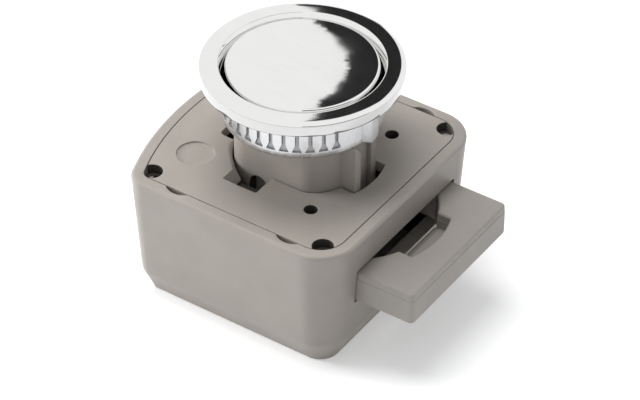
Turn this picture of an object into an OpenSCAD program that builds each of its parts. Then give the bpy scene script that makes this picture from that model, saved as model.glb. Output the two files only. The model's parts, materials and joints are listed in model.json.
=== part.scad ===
// Push button cabinet lock, locked: the button is in and the bolt is out.
// The button's axis is Z and the door face of the case is the plane z = 0.
// The bolt leaves the case along +X. All sizes are in millimetres.

/* [Case] */
// Width of the case across the bolt
case_w = 46.4; // [44:0.2:54]
// Button axis to the wall that the bolt comes out of
case_front = 21.8; // [21:0.2:26]
// Button axis to the crown of the bowed wall
case_back = 24.9; // [24:0.2:32]
// Radius of the bowed wall
bow_r = 57; // [45:1:120]
// Corner radius beside the bolt
front_corner_r = 7; // [5:0.5:9]
// Corner radius beside the bowed wall
back_corner_r = 4; // [2:0.5:6]
// Depth of the case behind the door face
case_depth = 25.5; // [24:0.5:32]
// Height of the chamfered foot
foot_h = 5; // [2:0.5:8]
// How far the foot draws in
foot_in = 2; // [0.5:0.25:3]
// How far the walls draw in from the rim to the foot
draft_in = 1.3; // [0:0.1:1.6]
// Width of the rim round the cover
rim_w = 2.2; // [1.5:0.1:3]
// Width of the ledge that the cover rests on
ledge_w = 1.2; // [0.8:0.1:2]
// Thickness of the floor
floor_t = 2.4; // [2.2:0.1:3]
// Softening of the rim's outer edge
rim_edge = 0.4; // [0.1:0.1:1]

/* [Cover] */
// Thickness of the cover
cover_t = 2; // [1.5:0.1:2.4]
// Gap between cover and rim
joint_gap = 0.15; // [0.05:0.05:0.3]
// Radius of the pry pockets in the rim
pry_r = 3.25; // [2.5:0.05:4]
// How far the pry pockets reach into the rim
pry_in = 0.9; // [0.4:0.05:1.2]
// Pry pockets from the button axis, along X
pry_x = 11.3; // [8:0.1:12]
// Radius of the bare recess
recess_r = 3.3; // [2:0.1:3.4]
// Depth of the bare recess
recess_d = 0.35; // [0.2:0.05:0.8]
// Place of the bare recess along X
recess_x = -14.65; // [-15.5:0.05:-13.5]
// Place of the bare recess along Y
recess_y = -11; // [-12.5:0.1:-9]
// Radius of the two locating holes
locate_r = 1.2; // [0.8:0.1:1.6]
// Place of the locating holes along X
locate_x = 10.2; // [8:0.1:12]
// Half the distance between the locating holes
locate_y = 12.4; // [12:0.1:15]

/* [Corner screw bosses] */
// Distance between the bosses along X
boss_span_x = 34.5; // [33:0.1:35.5]
// Distance between the bosses along Y
boss_span_y = 38; // [37:0.1:39]
// Middle of the bosses along X
boss_mid_x = -0.25; // [-1:0.05:0.5]
// Radius of the pilot holes
pilot_r = 1.25; // [1:0.05:1.4]
// Depth of the pilot holes
pilot_d = 10; // [6:0.5:14]
// Radius of the boss collar in the cover's corner hole
boss_r = 2.1; // [1.8:0.1:2.2]
// Radius of the columns under the bosses
column_r = 3.2; // [2.6:0.1:3.4]
// Height of the boss collar in the cover's corner hole
boss_rise = 0.2; // [0.1:0.1:1.2]

/* [Neck] */
// Radius of the neck
neck_r = 11.7; // [11:0.1:11.8]
// Half the width across the neck's flats
neck_flat = 9.05; // [8.6:0.05:9.6]
// Wall of the neck
neck_wall = 2.1; // [1.6:0.1:2.4]
// Height of the neck above the door face
neck_h = 15.2; // [12:0.2:15.6]
// Reach of the upright rib that stops the rosette's lug
rib_reach = 13.8; // [12.6:0.1:13.8]
// Reach of the shorter rib
short_rib_reach = 12.3; // [12:0.1:13]
// Outer faces of the ribs from the middle plane
rib_outer = 4.3; // [4:0.1:4.6]
// Inner faces of the ribs from the middle plane
rib_inner = 2.7; // [2.6:0.1:3.2]
// Gap between the ribs' tops and the rosette's collar
rib_gap = 0.3; // [0.1:0.1:0.6]
// Thickness of the neck's base
base_t = 1.8; // [1.4:0.1:2.4]

/* [Rosette] */
// Radius of the rosette
rosette_r = 17.5; // [16.5:0.1:20]
// Top of the rosette above the door face of the case
rosette_top = 18.9; // [18:0.1:24]
// Thickness of the rosette's flange
flange_t = 2.55; // [1.5:0.05:3]
// Rounding of the flange's outer edge
flange_round = 0.35; // [0.2:0.05:1.2]
// Radius of the collar, for a hole of twice this size in the door
collar_r = 14; // [13.9:0.05:14.4]
// Height of the collar below the flange
collar_h = 6.85; // [5:0.05:7]
// Depth of the slots between the collar's ribs
slot_d = 0.4; // [0.2:0.05:0.45]
// Width of the slots
slot_w = 0.55; // [0.3:0.05:1]
// Angle from slot to slot
slot_pitch = 9.2; // [8:0.1:12]
// Plain band below the slots
band_h = 0.95; // [0.6:0.05:1.5]
// Height of the widened foot of each slot
wedge_h = 1.7; // [1:0.1:2.5]
// Half the width of the widened foot
wedge_w = 1; // [0.4:0.1:1.1]
// Drop of the lug below the collar
lug_drop = 1.8; // [0.5:0.1:2.5]
// Rise of the bevel inside the flange
bevel_h = 1.3; // [0.5:0.1:1.6]

/* [Button] */
// Radius of the button
button_r = 13.12; // [12.9:0.02:13.2]
// Travel of the button
button_travel = 8.6; // [8:0.1:8.8]
// Height of the button's skirt
skirt_h = 9; // [8.9:0.1:9.2]
// Wall of the button's skirt
skirt_t = 1.1; // [0.9:0.05:1.15]
// Rise of the domed top
dome_h = 0.35; // [0.1:0.05:0.6]
// Thickness of the button's top
button_top_t = 1.2; // [0.9:0.1:1.5]
// Gap between button and collar
button_gap = 0.18; // [0.1:0.02:0.3]
// Radius of the button's post
post_r = 3; // [2.6:0.1:3.4]

/* [Plunger] */
// Gap between plunger and neck
plunger_gap = 0.15; // [0.1:0.05:0.3]
// Gap under the plunger at rest
plunger_foot = 1; // [0.6:0.1:1.5]
// Place of the cross pin along X
pin_x = -2.9; // [-3:0.05:-2.6]
// Height of the cross pin at rest
pin_z = -11.38; // [-11.6:0.02:-11.2]
// Radius of the cross pin
pin_r = 1.6; // [1.3:0.05:1.65]
// Gap between cross pin and the neck's slot
pin_gap = 0.15; // [0.1:0.05:0.3]
// Gap between cross pin and the bolt's slanted slots
slide_gap = 0.05; // [0.03:0.01:0.1]

/* [Bolt] */
// Travel of the bolt
bolt_travel = 10.5; // [9:0.1:10.5]
// How far the bolt stands out of the case
bolt_out = 10.5; // [8:0.1:14]
// Width of the bolt
bolt_w = 29.8; // [29:0.1:30]
// Top of the bolt below the door face
bolt_top = 6.85; // [6.7:0.05:7]
// Thickness of the bolt
bolt_t = 6.2; // [5:0.1:6.4]
// Corner radius of the bolt's end
bolt_corner_r = 0.5; // [0.4:0.1:2]
// Radius of the wide cut-out round the neck
cut_r = 14.55; // [14.4:0.05:14.8]
// Radius of the deep cut-out that clears the ribs
deep_r = 16.9; // [16:0.1:17.5]
// Half the width of the deep cut-out
deep_w = 6; // [5.4:0.1:6.6]
// Depth of the deep cut-out
deep_d = 3.15; // [2.6:0.05:3.4]
// Rounding of the sill in the cut-out
sill_r = 1.6; // [0.6:0.1:2]
// Gap between the bolt and the sides of its slot in the case
bolt_gap = 0.25; // [0.15:0.05:0.4]
// Gap above the bolt in its slot
gap_above = 0.4; // [0.2:0.05:0.6]
// Gap below the bolt in its slot
gap_below = 0.55; // [0.2:0.05:0.8]
// Thickness of the bolt's slotted cheeks
cheek_t = 2.3; // [1.8:0.1:2.6]

/* [Springs] */
// Coils of the plunger spring
plunger_coils = 10; // [6:1:12]
// Wire of the plunger spring
plunger_wire = 0.7; // [0.5:0.05:0.8]
// Coils of each bolt spring
bolt_coils = 15; // [8:1:18]
// Wire of the bolt springs
bolt_wire = 0.45; // [0.35:0.05:0.5]

/* [Hidden] */
$fn = 64;
grey = [0.56, 0.54, 0.52];
chrome = [0.86, 0.87, 0.88];
steel = [0.70, 0.71, 0.73];
acetal = [0.90, 0.89, 0.86];
// Overshoot of a cut past the face that it opens
over = 1;
// Overlap of two solids or cuts that are joined
lap = 0.01;
// Straight pieces in the arcs of an outline
corner_steps = 9;
bow_steps = 16;
round_steps = 6;
dome_steps = 8;
// Least corner radius of an inset outline
min_r = 0.4;

half_w = case_w / 2;
cavity_in = rim_w + ledge_w;
floor_z = floor_t - case_depth;
base_top = floor_z + base_t;
bow_x = bow_r - case_back;
boss_x = [boss_mid_x - boss_span_x / 2, boss_mid_x + boss_span_x / 2];
boss_y = boss_span_y / 2;
boss_z = boss_rise - cover_t;
// Gap between a boss collar and its hole in the cover
boss_gap = 0.25;

flange_z = rosette_top - flange_t;
collar_z = flange_z - collar_h;
collar_in = button_r + button_gap;
rib_top = collar_z - rib_gap;
// The ribs end just above the sill of the bolt, which passes below them
sill_clear = 0.35;
rib_foot = -bolt_top - deep_d + sill_clear;
// The long rib's top slopes down towards the lug
rib_slope = 2.1;
bevel_w = 0.87;
under_edge = 0.3;
lug_half_angle = 10.3;
lug_proud = 0.2;
// Lower edge of the lug: it slants on one side of the middle plane, and its other corner is rounded
lug_slant = 35;
lug_round = 0.8;
// Half the plain sector of the collar, on each side of the lug
plain_half = 31.8;

flat_wall = 1.85;
bore_r = neck_r - neck_wall;
bore_flat = neck_flat - flat_wall;
plunger_r = bore_r - plunger_gap;
plunger_flat = bore_flat - plunger_gap;
plunger_z = base_top + plunger_foot;
cap_under = rosette_top - button_top_t;
skirt_z = rosette_top - skirt_h;
// Gap between the neck and the cover
opening_gap = 0.25;
// The opening in the cover follows the ribs on an arc
rib_arc_r = 14.6;
rib_opening = 4.75;

bolt_low = -bolt_top - bolt_t;
bolt_end = case_front + bolt_out;
bolt_half = bolt_w / 2;
// Room between the bolt's arms and the neck's flats
arm_gap = 1.55;
arm_in = neck_flat + arm_gap;
cheek_out = arm_in + cheek_t;
// How far the cross pin stands out of the cheeks
pin_proud = 0.5;
pin_half = cheek_out + pin_proud;
// Window in the cover that the ends of the cross pin rise into: its room behind, before and beside the pin
window_behind = 3.6;
window_before = 3;
window_beside = 0.6;
window_x = [pin_x - window_behind, pin_x + window_before];
window_y = pin_half + window_beside;
// Cheeks of the bolt: gap under the cover, and material behind and below the cross pin
cheek_gap = 0.4;
cheek_behind = 4.6;
cheek_below = 2.2;
cheek_top = -cover_t - cheek_gap;
cheek_back = pin_x - cheek_behind;
cheek_front = 12.5;
cheek_low = pin_z - pin_r - cheek_below;
// How much longer than the travel the slanted slots are, so that they open at the top
slant_extra = 1.3;
shoulder_x = [7, 13.4];
// Shoulders of the bolt: gap to the case's hollow, and the springs' axis from their ends
shoulder_gap = 1.2;
spring_in = 1.9;
shoulder_y = half_w - cavity_in - shoulder_gap;
rail_y = [15.2, 16.8];
rail_gap = 0.25;
cut_end_x = bolt_travel + sqrt(cut_r * cut_r - arm_in * arm_in);
// The sill under the deep cut-out stays clear of the neck when the bolt is in
sill_gap = 0.6;
sill_x = neck_r + bolt_travel + sill_gap;

bolt_spring_y = shoulder_y - spring_in;
bolt_spring_z = -bolt_top - bolt_t / 2;
bolt_spring_r = 1.55;
seat_x = -13.8;
seat_t = 1.5;
seat_h = 4;
pocket_d = 3.4;
pocket_r = 2.05;
peg_r = 1;
peg_l = 2.5;

plunger_spring_x = 3.6;
plunger_spring_r = 3.2;
spring_bore_r = 4;
spring_top = 2;
spring_peg_r = 2.3;
spring_peg_h = 2.8;
// A spring's end stands off its seat by this much
spring_rest = 0.05;

screw_x = 8;
screw_y = 10.8;
screw_r = 1.1;
screw_head_r = 2.4;
screw_head_h = 1.1;
screw_recess = 1.3;
screw_boss_r = 2.2;
screw_boss_h = 3;
screw_clear = 0.2;
// Pilot hole left beyond a screw's tip
tip_room = 1.5;
// Cross recess: length and width of an arm, and depth counted on both sides of the head's face
cross = [2.6, 0.5, 1.2];

// Base plate of the neck and the window in its wall for the follower wire
base_x = [-17, 15];
base_half = 14.2;
wire_window_half = 3.4;
wire_window_drop = 1;

// Heart cam and its follower wire, which swings about an axis along X
cam_x = -8.4;
cam_t = 2.4;
cam_half = 4.2;
cam_lift = 0.4;
cam_low = plunger_z + cam_lift;
cam_above = 2.5;
wire_tip_z = -9;
cam_high = wire_tip_z + cam_above;
track_d = 1.8;
track_w = 1.7;
wire_r = 0.6;
wire_x = -13.4;
pivot_h = 2.3;
pivot_z = base_top + pivot_h;
wire_l = wire_tip_z - pivot_z;
wire_swing = 14;
bracket_x = [-16.8, -14.4];
bracket_half = 3.2;
bracket_above = 2.5;
bracket_top = pivot_z + bracket_above;
tip_gap = 0.3;
// Notch in the cover over the follower wire
notch_behind = 1.1;
notch_before = 2.1;
notch_half = 4.1;
leaf_t = 0.3;
leaf_half = 1.5;
leaf_top = -8;

clip_z = 12;
clip_t = 0.8;
clip_half = 4;
clip_x = [-8.6, 4.4];
groove_r = 2.1;
// Post of the button below its clip, and the room at the ends of what slides in
post_below = 2.5;
end_gap = 0.1;
fit_gap = 0.05;
cap_edge = 0.5;

// Points of an arc, with both ends
function arc(cx, cy, r, a0, a1, n) =
    [for (i = [0:n]) let (a = a0 + (a1 - a0) * i / n) [cx + r * cos(a), cy + r * sin(a)]];

// Outline of the case drawn in by an inset: three straight sides and a bowed one
function case_outline(inset) =
    let (
        rf = max(front_corner_r - inset, min_r),
        rb = max(back_corner_r - inset, min_r),
        fx = case_front - inset - rf,
        fy = half_w - inset - rf,
        by = half_w - inset - rb,
        bx = bow_x - sqrt(pow(bow_r - inset - rb, 2) - by * by),
        turn = atan2(by, bx - bow_x),
        bow = arc(bow_x, 0, bow_r - inset, turn, 360 - turn, bow_steps)
    )
    concat(
        arc(fx, -fy, rf, -90, 0, corner_steps),
        arc(fx, fy, rf, 0, 90, corner_steps),
        arc(bx, by, rb, 90, turn, corner_steps),
        [for (i = [1:bow_steps - 1]) bow[i]],
        arc(bx, -by, rb, 360 - turn, 270, corner_steps)
    );

// Solid through outlines of the case at several heights, given as [height, inset] from the bottom up
module case_loft(levels) {
    rings = [for (l = levels) case_outline(l[1])];
    n = len(rings[0]);
    m = len(levels);
    points = [for (j = [0:m - 1]) for (p = rings[j]) [p[0], p[1], levels[j][0]]];
    sides = [
        for (j = [0:m - 2]) for (i = [0:n - 1]) let (k = (i + 1) % n)
            [j * n + i, (j + 1) * n + i, (j + 1) * n + k, j * n + k]
    ];
    bottom = [for (i = [0:n - 1]) i];
    top = [for (i = [n - 1:-1:0]) (m - 1) * n + i];
    polyhedron(points, concat([bottom], sides, [top]));
}

module case_slab(inset, z0, z1) {
    translate([0, 0, z0])
        linear_extrude(z1 - z0)
            polygon(case_outline(inset));
}

module box(x, y, z) {
    translate([x[0], y[0], z[0]])
        cube([x[1] - x[0], y[1] - y[0], z[1] - z[0]]);
}

module both_sides() {
    children();
    mirror([0, 1, 0])
        children();
}

module at_bosses() {
    for (x = boss_x, s = [-1, 1])
        translate([x, s * boss_y, 0])
            children();
}

module at_screws() {
    for (x = [-screw_x, screw_x], s = [-1, 1])
        translate([x, s * screw_y, 0])
            children();
}

// Cylinder along Y, centred on the middle plane
module rod_y(r, half_l, x, z) {
    translate([x, 0, z])
        rotate([90, 0, 0])
            cylinder(r = r, h = 2 * half_l, center = true);
}

// Cylinder along X from x0 to x1
module rod_x(r, x0, x1, y, z) {
    translate([x0, y, z])
        rotate([0, 90, 0])
            cylinder(r = r, h = x1 - x0);
}

// Round-ended slot in a plane from p to q
module slot_2d(p, q, r) {
    run = q - p;
    translate(p) {
        circle(r);
        rotate(atan2(run[1], run[0]))
            translate([0, -r])
                square([norm(run), 2 * r]);
    }
    translate(q)
        circle(r);
}

// Round disc with two flats
module flatted_2d(r, flat) {
    intersection() {
        circle(r);
        translate([-r - over, -flat])
            square([2 * (r + over), 2 * flat]);
    }
}

module flatted(r, flat, z0, z1) {
    translate([0, 0, z0])
        linear_extrude(z1 - z0)
            flatted_2d(r, flat);
}

// One unbroken wire of a spring along +Z from the origin, with closed ends
module coil_spring(r, wire, coils, length) {
    steps = 8;
    sides = 6;
    last = coils * steps;
    rise = (length - wire) / coils;
    ring = [
        for (i = [0:last]) let (a = i * 360 / steps, h = wire / 2 + rise * i / steps)
            for (s = [0:sides - 1]) let (b = s * 360 / sides)
                [
                    (r + wire / 2 * cos(b)) * cos(a),
                    (r + wire / 2 * cos(b)) * sin(a),
                    h + wire / 2 * sin(b)
                ]
    ];
    walls = [
        for (i = [0:last - 1]) for (s = [0:sides - 1]) let (t = (s + 1) % sides)
            for (f = [
                [i * sides + s, (i + 1) * sides + s, (i + 1) * sides + t],
                [i * sides + s, (i + 1) * sides + t, i * sides + t]
            ]) f
    ];
    first_cap = [for (s = [0:sides - 1]) s];
    last_cap = [for (s = [sides - 1:-1:0]) last * sides + s];
    echo(least_gap_between_curls = rise - wire);
    polyhedron(ring, concat([first_cap], walls, [last_cap]));
}

module case_shell() {
    color(grey)
        difference() {
            case_loft([
                [-case_depth, draft_in + foot_in],
                [foot_h - case_depth, draft_in],
                [-rim_edge, 0],
                [0, rim_edge]
            ]);
            case_slab(rim_w, -cover_t, over);
            case_cavity();
            bolt_slot();
            both_sides()
                pry_pockets();
            at_bosses()
                translate([0, 0, boss_z - pilot_d])
                    cylinder(r = pilot_r, h = pilot_d + over);
            at_screws()
                screw_hole();
        }
    color(grey)
        at_bosses()
            boss_collar();
}

// Hollow of the case, less the columns, rails and spring seats that stand in it
module case_cavity() {
    difference() {
        case_slab(cavity_in, floor_z, -cover_t + lap);
        at_bosses()
            translate([0, 0, floor_z - over])
                cylinder(r = column_r, h = -cover_t - floor_z + over);
        both_sides() {
            box([seat_x, shoulder_x[1]], rail_y, [floor_z - over, bolt_low - rail_gap]);
            box([seat_x - seat_t, seat_x], [bolt_half, half_w], [floor_z - over, bolt_spring_z + seat_h]);
            rod_x(peg_r, seat_x - seat_t, seat_x + peg_l, bolt_spring_y, bolt_spring_z);
        }
    }
}

module bolt_slot() {
    box(
        [case_front - cavity_in - over, case_front + over],
        [-bolt_half - bolt_gap, bolt_half + bolt_gap],
        [bolt_low - gap_below, gap_above - bolt_top]
    );
}

module boss_collar() {
    translate([0, 0, -cover_t])
        difference() {
            cylinder(r = boss_r, h = boss_rise);
            translate([0, 0, -over])
                cylinder(r = pilot_r, h = boss_rise + 2 * over);
        }
}

// Shallow arcs cut into the rim beside the cover, where a blade lifts it out
module pry_pockets() {
    for (x = [-pry_x, pry_x])
        translate([x, pry_r - pry_in + rim_w - half_w, -cover_t])
            cylinder(r = pry_r, h = cover_t + over);
}

module screw_hole() {
    translate([0, 0, -case_depth - over]) {
        cylinder(r = screw_head_r + screw_clear, h = screw_recess + over);
        cylinder(r = screw_r + screw_clear, h = floor_t + 2 * over);
    }
}

module cover_plate() {
    color(grey)
        difference() {
            case_slab(rim_w + joint_gap, -cover_t, 0);
            translate([0, 0, -cover_t - over])
                linear_extrude(cover_t + 2 * over)
                    cover_opening();
            at_bosses()
                translate([0, 0, -cover_t - over])
                    cylinder(r = boss_r + boss_gap, h = cover_t + 2 * over);
            for (s = [-1, 1])
                translate([locate_x, s * locate_y, -cover_t - over])
                    cylinder(r = locate_r, h = cover_t + 2 * over);
            translate([recess_x, recess_y, -recess_d])
                cylinder(r = recess_r, h = recess_d + over);
        }
}

// Opening that the neck, its ribs and the ends of the cross pin come through
module cover_opening() {
    flatted_2d(neck_r + opening_gap, neck_flat + opening_gap);
    intersection() {
        circle(rib_arc_r);
        translate([0, -rib_opening])
            square([rib_arc_r + over, 2 * rib_opening]);
    }
    for (s = [-1, 1])
        translate([window_x[0], s * window_y / 2 - window_y / 2])
            square([window_x[1] - window_x[0], window_y]);
    translate([wire_x - notch_behind, -notch_half])
        square([notch_behind + notch_before, 2 * notch_half]);
}

module guide_tower() {
    color(grey)
        difference() {
            union() {
                flatted(neck_r, neck_flat, base_top - base_t / 2, neck_h);
                box(base_x, [-base_half, base_half], [floor_z, base_top]);
                long_rib();
                box([bore_r, short_rib_reach], [rib_inner, rib_outer], [rib_foot, rib_top]);
                box(bracket_x, [-bracket_half, bracket_half], [floor_z + base_t / 2, bracket_top]);
                at_screws()
                    translate([0, 0, base_top - base_t / 2])
                        cylinder(r = screw_boss_r, h = base_t / 2 + screw_boss_h);
            }
            difference() {
                flatted(bore_r, bore_flat, base_top, neck_h + over);
                translate([plunger_spring_x, 0, base_top - over])
                    cylinder(r = spring_peg_r, h = spring_peg_h + over);
            }
            rotate([90, 0, 0])
                translate([0, 0, -half_w])
                    linear_extrude(case_w)
                        slot_2d([pin_x, pin_z], [pin_x, pin_z + button_travel], pin_r + pin_gap);
            box(
                [-neck_r - over, -cam_half - over],
                [-wire_window_half, wire_window_half],
                [base_top, cam_high - wire_window_drop]
            );
            rod_x(wire_r + fit_gap, bracket_x[0] - over, bracket_x[1] + over, 0, pivot_z);
            at_screws()
                translate([0, 0, floor_z - over])
                    cylinder(r = screw_r, h = base_t + screw_boss_h);
        }
}

// Upright rib with a sloping top
module long_rib() {
    translate([bore_r, 0, 0])
        rotate([90, 0, 90])
            linear_extrude(rib_reach - bore_r)
                polygon([
                    [-rib_outer, rib_foot],
                    [-rib_inner, rib_foot],
                    [-rib_inner, rib_top - rib_slope],
                    [-rib_outer, rib_top]
                ]);
}

module tower_screws() {
    color(steel)
        at_screws()
            difference() {
                union() {
                    translate([0, 0, screw_recess - screw_head_h - case_depth])
                        cylinder(r = screw_head_r, h = screw_head_h);
                    translate([0, 0, screw_recess - case_depth])
                        cylinder(r = screw_r, h = floor_t - screw_recess + base_t + screw_boss_h - tip_room);
                }
                for (a = [0, 90])
                    translate([0, 0, screw_recess - screw_head_h - case_depth])
                        rotate(a)
                            cube(cross, center = true);
            }
}

module rosette() {
    rim = flange_z + flange_t - flange_round;
    color(chrome)
        difference() {
            union() {
                rotate_extrude()
                    polygon(concat(
                        [[collar_in, collar_z], [collar_in, rosette_top - bevel_h]],
                        [[collar_in + bevel_w, rosette_top]],
                        arc(rosette_r - flange_round, rim, flange_round, 90, 0, round_steps),
                        [[rosette_r, flange_z + under_edge], [rosette_r - under_edge, flange_z]],
                        [[collar_r, flange_z], [collar_r, collar_z]]
                    ));
                lug();
            }
            for (a = [-plain_half:-slot_pitch:plain_half - 360])
                rotate(a)
                    collar_slot();
        }
}

// Slot in the collar that widens to a wedge above the plain band
module collar_slot() {
    low = collar_z + band_h;
    translate([collar_r - slot_d, 0, 0])
        rotate([90, 0, 90])
            linear_extrude(slot_d + over)
                polygon([
                    [-slot_w / 2, flange_z],
                    [-slot_w / 2, low + wedge_h],
                    [-wedge_w, low],
                    [wedge_w, low],
                    [slot_w / 2, low + wedge_h],
                    [slot_w / 2, flange_z]
                ]);
}

// Lug of the collar that sits between the neck's ribs
module lug() {
    reach = collar_r + lug_proud;
    low = collar_z - lug_drop;
    side = reach * sin(lug_half_angle);
    difference() {
        translate([0, 0, low])
            linear_extrude(collar_h + lug_drop)
                difference() {
                    intersection() {
                        circle(reach);
                        polygon([
                            [0, 0],
                            [2 * reach * cos(lug_half_angle), -2 * side],
                            [2 * reach * cos(lug_half_angle), 2 * side]
                        ]);
                    }
                    circle(collar_in);
                }
        translate([0, 0, low])
            rotate([-lug_slant, 0, 0])
                translate([0, -reach, -reach])
                    cube([2 * reach, reach, reach]);
        translate([0, side - lug_round, low])
            difference() {
                cube([2 * reach, reach, lug_round]);
                translate([-over, 0, lug_round])
                    rotate([0, 90, 0])
                        cylinder(r = lug_round, h = 2 * (reach + over));
            }
    }
}

module button_cap() {
    inner = button_r - skirt_t;
    edge_x = button_r - cap_edge;
    color(chrome)
        difference() {
            union() {
                rotate_extrude()
                    polygon(concat(
                        [[inner, skirt_z], [button_r, skirt_z]],
                        arc(edge_x, rosette_top - dome_h - cap_edge, cap_edge, 0, 90, round_steps),
                        dome_points(edge_x, rosette_top, dome_steps),
                        [[0, cap_under], [inner, cap_under]]
                    ));
                translate([0, 0, clip_z - post_below])
                    cylinder(r = post_r, h = cap_under - clip_z + post_below + lap);
            }
            translate([0, 0, clip_z - fit_gap - clip_t / 2])
                difference() {
                    cylinder(r = post_r + over, h = clip_t + 2 * fit_gap);
                    translate([0, 0, -over])
                        cylinder(r = groove_r, h = clip_t + 2 * over);
                }
        }
}

// Shallow dome from its edge to the axis
function dome_points(r, top, n) =
    [for (i = [1:n]) let (u = 1 - i / n) [r * u, top - dome_h * u * u]];

module cap_clip() {
    color(steel)
        difference() {
            box(clip_x, [-clip_half, clip_half], [clip_z - clip_t / 2, clip_z + clip_t / 2]);
            translate([0, 0, clip_z - over]) {
                cylinder(r = groove_r + fit_gap, h = 2 * over);
                translate([0, -groove_r - fit_gap, 0])
                    cube([clip_x[1] + over, 2 * (groove_r + fit_gap), 2 * over]);
            }
        }
}

module plunger() {
    color(acetal)
        difference() {
            flatted(plunger_r, plunger_flat, plunger_z, cap_under);
            translate([plunger_spring_x, 0, plunger_z - over])
                cylinder(r = spring_bore_r, h = spring_top - plunger_z + over);
            rod_y(pin_r, half_w, pin_x, pin_z);
            box([-bore_r - over, cam_x + cam_t], [-cam_half, cam_half], [cam_low, cam_high]);
            translate([0, 0, clip_z - post_below - end_gap])
                cylinder(r = post_r + fit_gap, h = cap_under - clip_z + post_below + end_gap + over);
            box(
                [-bore_r - over, clip_x[1] + end_gap],
                [-clip_half - end_gap, clip_half + end_gap],
                [clip_z - clip_t / 2 - fit_gap, clip_z + clip_t / 2 + fit_gap]
            );
        }
}

// Insert with a heart-shaped track, cut from its face on the side of the follower wire
module heart_cam() {
    rest = [0, wire_tip_z];
    side = wire_l * sin(wire_swing);
    low = pivot_z + wire_l * cos(wire_swing) - button_travel;
    color(steel)
        difference() {
            box([cam_x, cam_x + cam_t], [-cam_half, cam_half], [cam_low, cam_high]);
            translate([cam_x - over, 0, 0])
                rotate([90, 0, 90])
                    linear_extrude(track_d + over) {
                        slot_2d(rest, [-side, low], track_w / 2);
                        slot_2d(rest, [side, low], track_w / 2);
                        slot_2d([-side, low], [side, low], track_w / 2);
                    }
        }
}

module drive_pin() {
    color(steel)
        rod_y(pin_r, pin_half, pin_x, pin_z);
}

module plunger_spring() {
    color(steel)
        translate([plunger_spring_x, 0, base_top + spring_rest])
            coil_spring(
                plunger_spring_r, plunger_wire, plunger_coils,
                spring_top - base_top - 2 * spring_rest
            );
}

module latch_bolt() {
    color(grey)
        difference() {
            union() {
                translate([0, 0, bolt_low])
                    linear_extrude(bolt_t)
                        bolt_outline();
                both_sides()
                    box([cheek_back, cheek_front], [arm_in, cheek_out], [cheek_low, cheek_top]);
            }
            bolt_cut_out();
            rotate([90, 0, 0])
                translate([0, 0, -pin_half - over])
                    linear_extrude(2 * (pin_half + over))
                        drive_slot_2d();
            both_sides()
                rod_x(pocket_r, shoulder_x[0] - over, shoulder_x[0] + pocket_d, bolt_spring_y, bolt_spring_z);
        }
}

// Plan of the bolt: the tongue with rounded corners, and the shoulders that stop it
module bolt_outline() {
    c = bolt_corner_r;
    polygon(concat(
        [[shoulder_x[0], -shoulder_y], [shoulder_x[1], -shoulder_y], [shoulder_x[1], -bolt_half]],
        arc(bolt_end - c, c - bolt_half, c, -90, 0, round_steps),
        arc(bolt_end - c, bolt_half - c, c, 0, 90, round_steps),
        [[shoulder_x[1], bolt_half], [shoulder_x[1], shoulder_y], [shoulder_x[0], shoulder_y]]
    ));
}

// Room for the neck, a deeper step for its ribs, and the rounded sill below the step
module bolt_cut_out() {
    step_z = -bolt_top - deep_d;
    difference() {
        translate([0, 0, bolt_low - over])
            linear_extrude(bolt_t + 2 * over) {
                intersection() {
                    translate([bolt_travel, 0])
                        circle(cut_r);
                    translate([cut_end_x - lap, -cut_r])
                        square([cut_r, 2 * cut_r]);
                }
                translate([shoulder_x[0] - over, -arm_in])
                    square([cut_end_x - shoulder_x[0] + over, 2 * arm_in]);
            }
        box([sill_x + sill_r, bolt_end], [-deep_w, deep_w], [bolt_low - 2 * over, step_z]);
        box([sill_x, bolt_end], [-deep_w, deep_w], [bolt_low - 2 * over, step_z - sill_r]);
        rod_y(sill_r, deep_w, sill_x + sill_r, step_z - sill_r);
    }
    translate([0, 0, step_z])
        linear_extrude(deep_d + over)
            intersection() {
                translate([bolt_travel, 0])
                    circle(deep_r);
                translate([cut_end_x, -deep_w])
                    square([deep_r, 2 * deep_w]);
            }
}

// Slanted slot that turns the rise of the cross pin into the travel of the bolt, open at its upper end
module drive_slot_2d() {
    run = [bolt_travel, button_travel];
    slot_2d([pin_x, pin_z], [pin_x, pin_z] + slant_extra * run, pin_r + slide_gap);
}

module bolt_spring(side) {
    length = shoulder_x[0] + pocket_d - seat_x - 2 * spring_rest;
    color(steel)
        translate([seat_x + spring_rest, side * bolt_spring_y, bolt_spring_z])
            rotate([0, 90, 0])
                coil_spring(bolt_spring_r, bolt_wire, bolt_coils, length);
}

// Follower wire: pivot along X, a straight leg and a tip that runs in the heart cam's track
module cam_pin() {
    color(steel) {
        rod_x(wire_r, bracket_x[0], wire_x, 0, pivot_z);
        translate([wire_x, 0, pivot_z])
            cylinder(r = wire_r, h = wire_l);
        rod_x(wire_r, wire_x, cam_x + track_d - tip_gap, 0, wire_tip_z);
        for (z = [pivot_z, wire_tip_z])
            translate([wire_x, 0, z])
                sphere(wire_r);
    }
}

module pin_spring() {
    color(steel)
        difference() {
            box([bracket_x[1], bracket_x[1] + leaf_t], [-leaf_half, leaf_half], [base_top, leaf_top]);
            rod_x(wire_r + fit_gap, bracket_x[1] - over, bracket_x[1] + over, 0, pivot_z);
        }
}

case_shell();
cover_plate();
guide_tower();
tower_screws();
rosette();
button_cap();
cap_clip();
plunger();
heart_cam();
drive_pin();
plunger_spring();
latch_bolt();
bolt_spring(-1);  // bolt_spring_left
bolt_spring(1);  // bolt_spring_right
cam_pin();
pin_spring();
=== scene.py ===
"""Looks of a push button cabinet lock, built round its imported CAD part.

Sizes are in millimetres and become metres where a mesh is made. The origin is the button's axis on the
door face of the case, +X is the way the bolt leaves the case and +Z leads out through the door.
"""
import json
import math
from collections import namedtuple

import bmesh
import bpy
from mathutils import Matrix, Vector
from mathutils.geometry import tessellate_polygon


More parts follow.
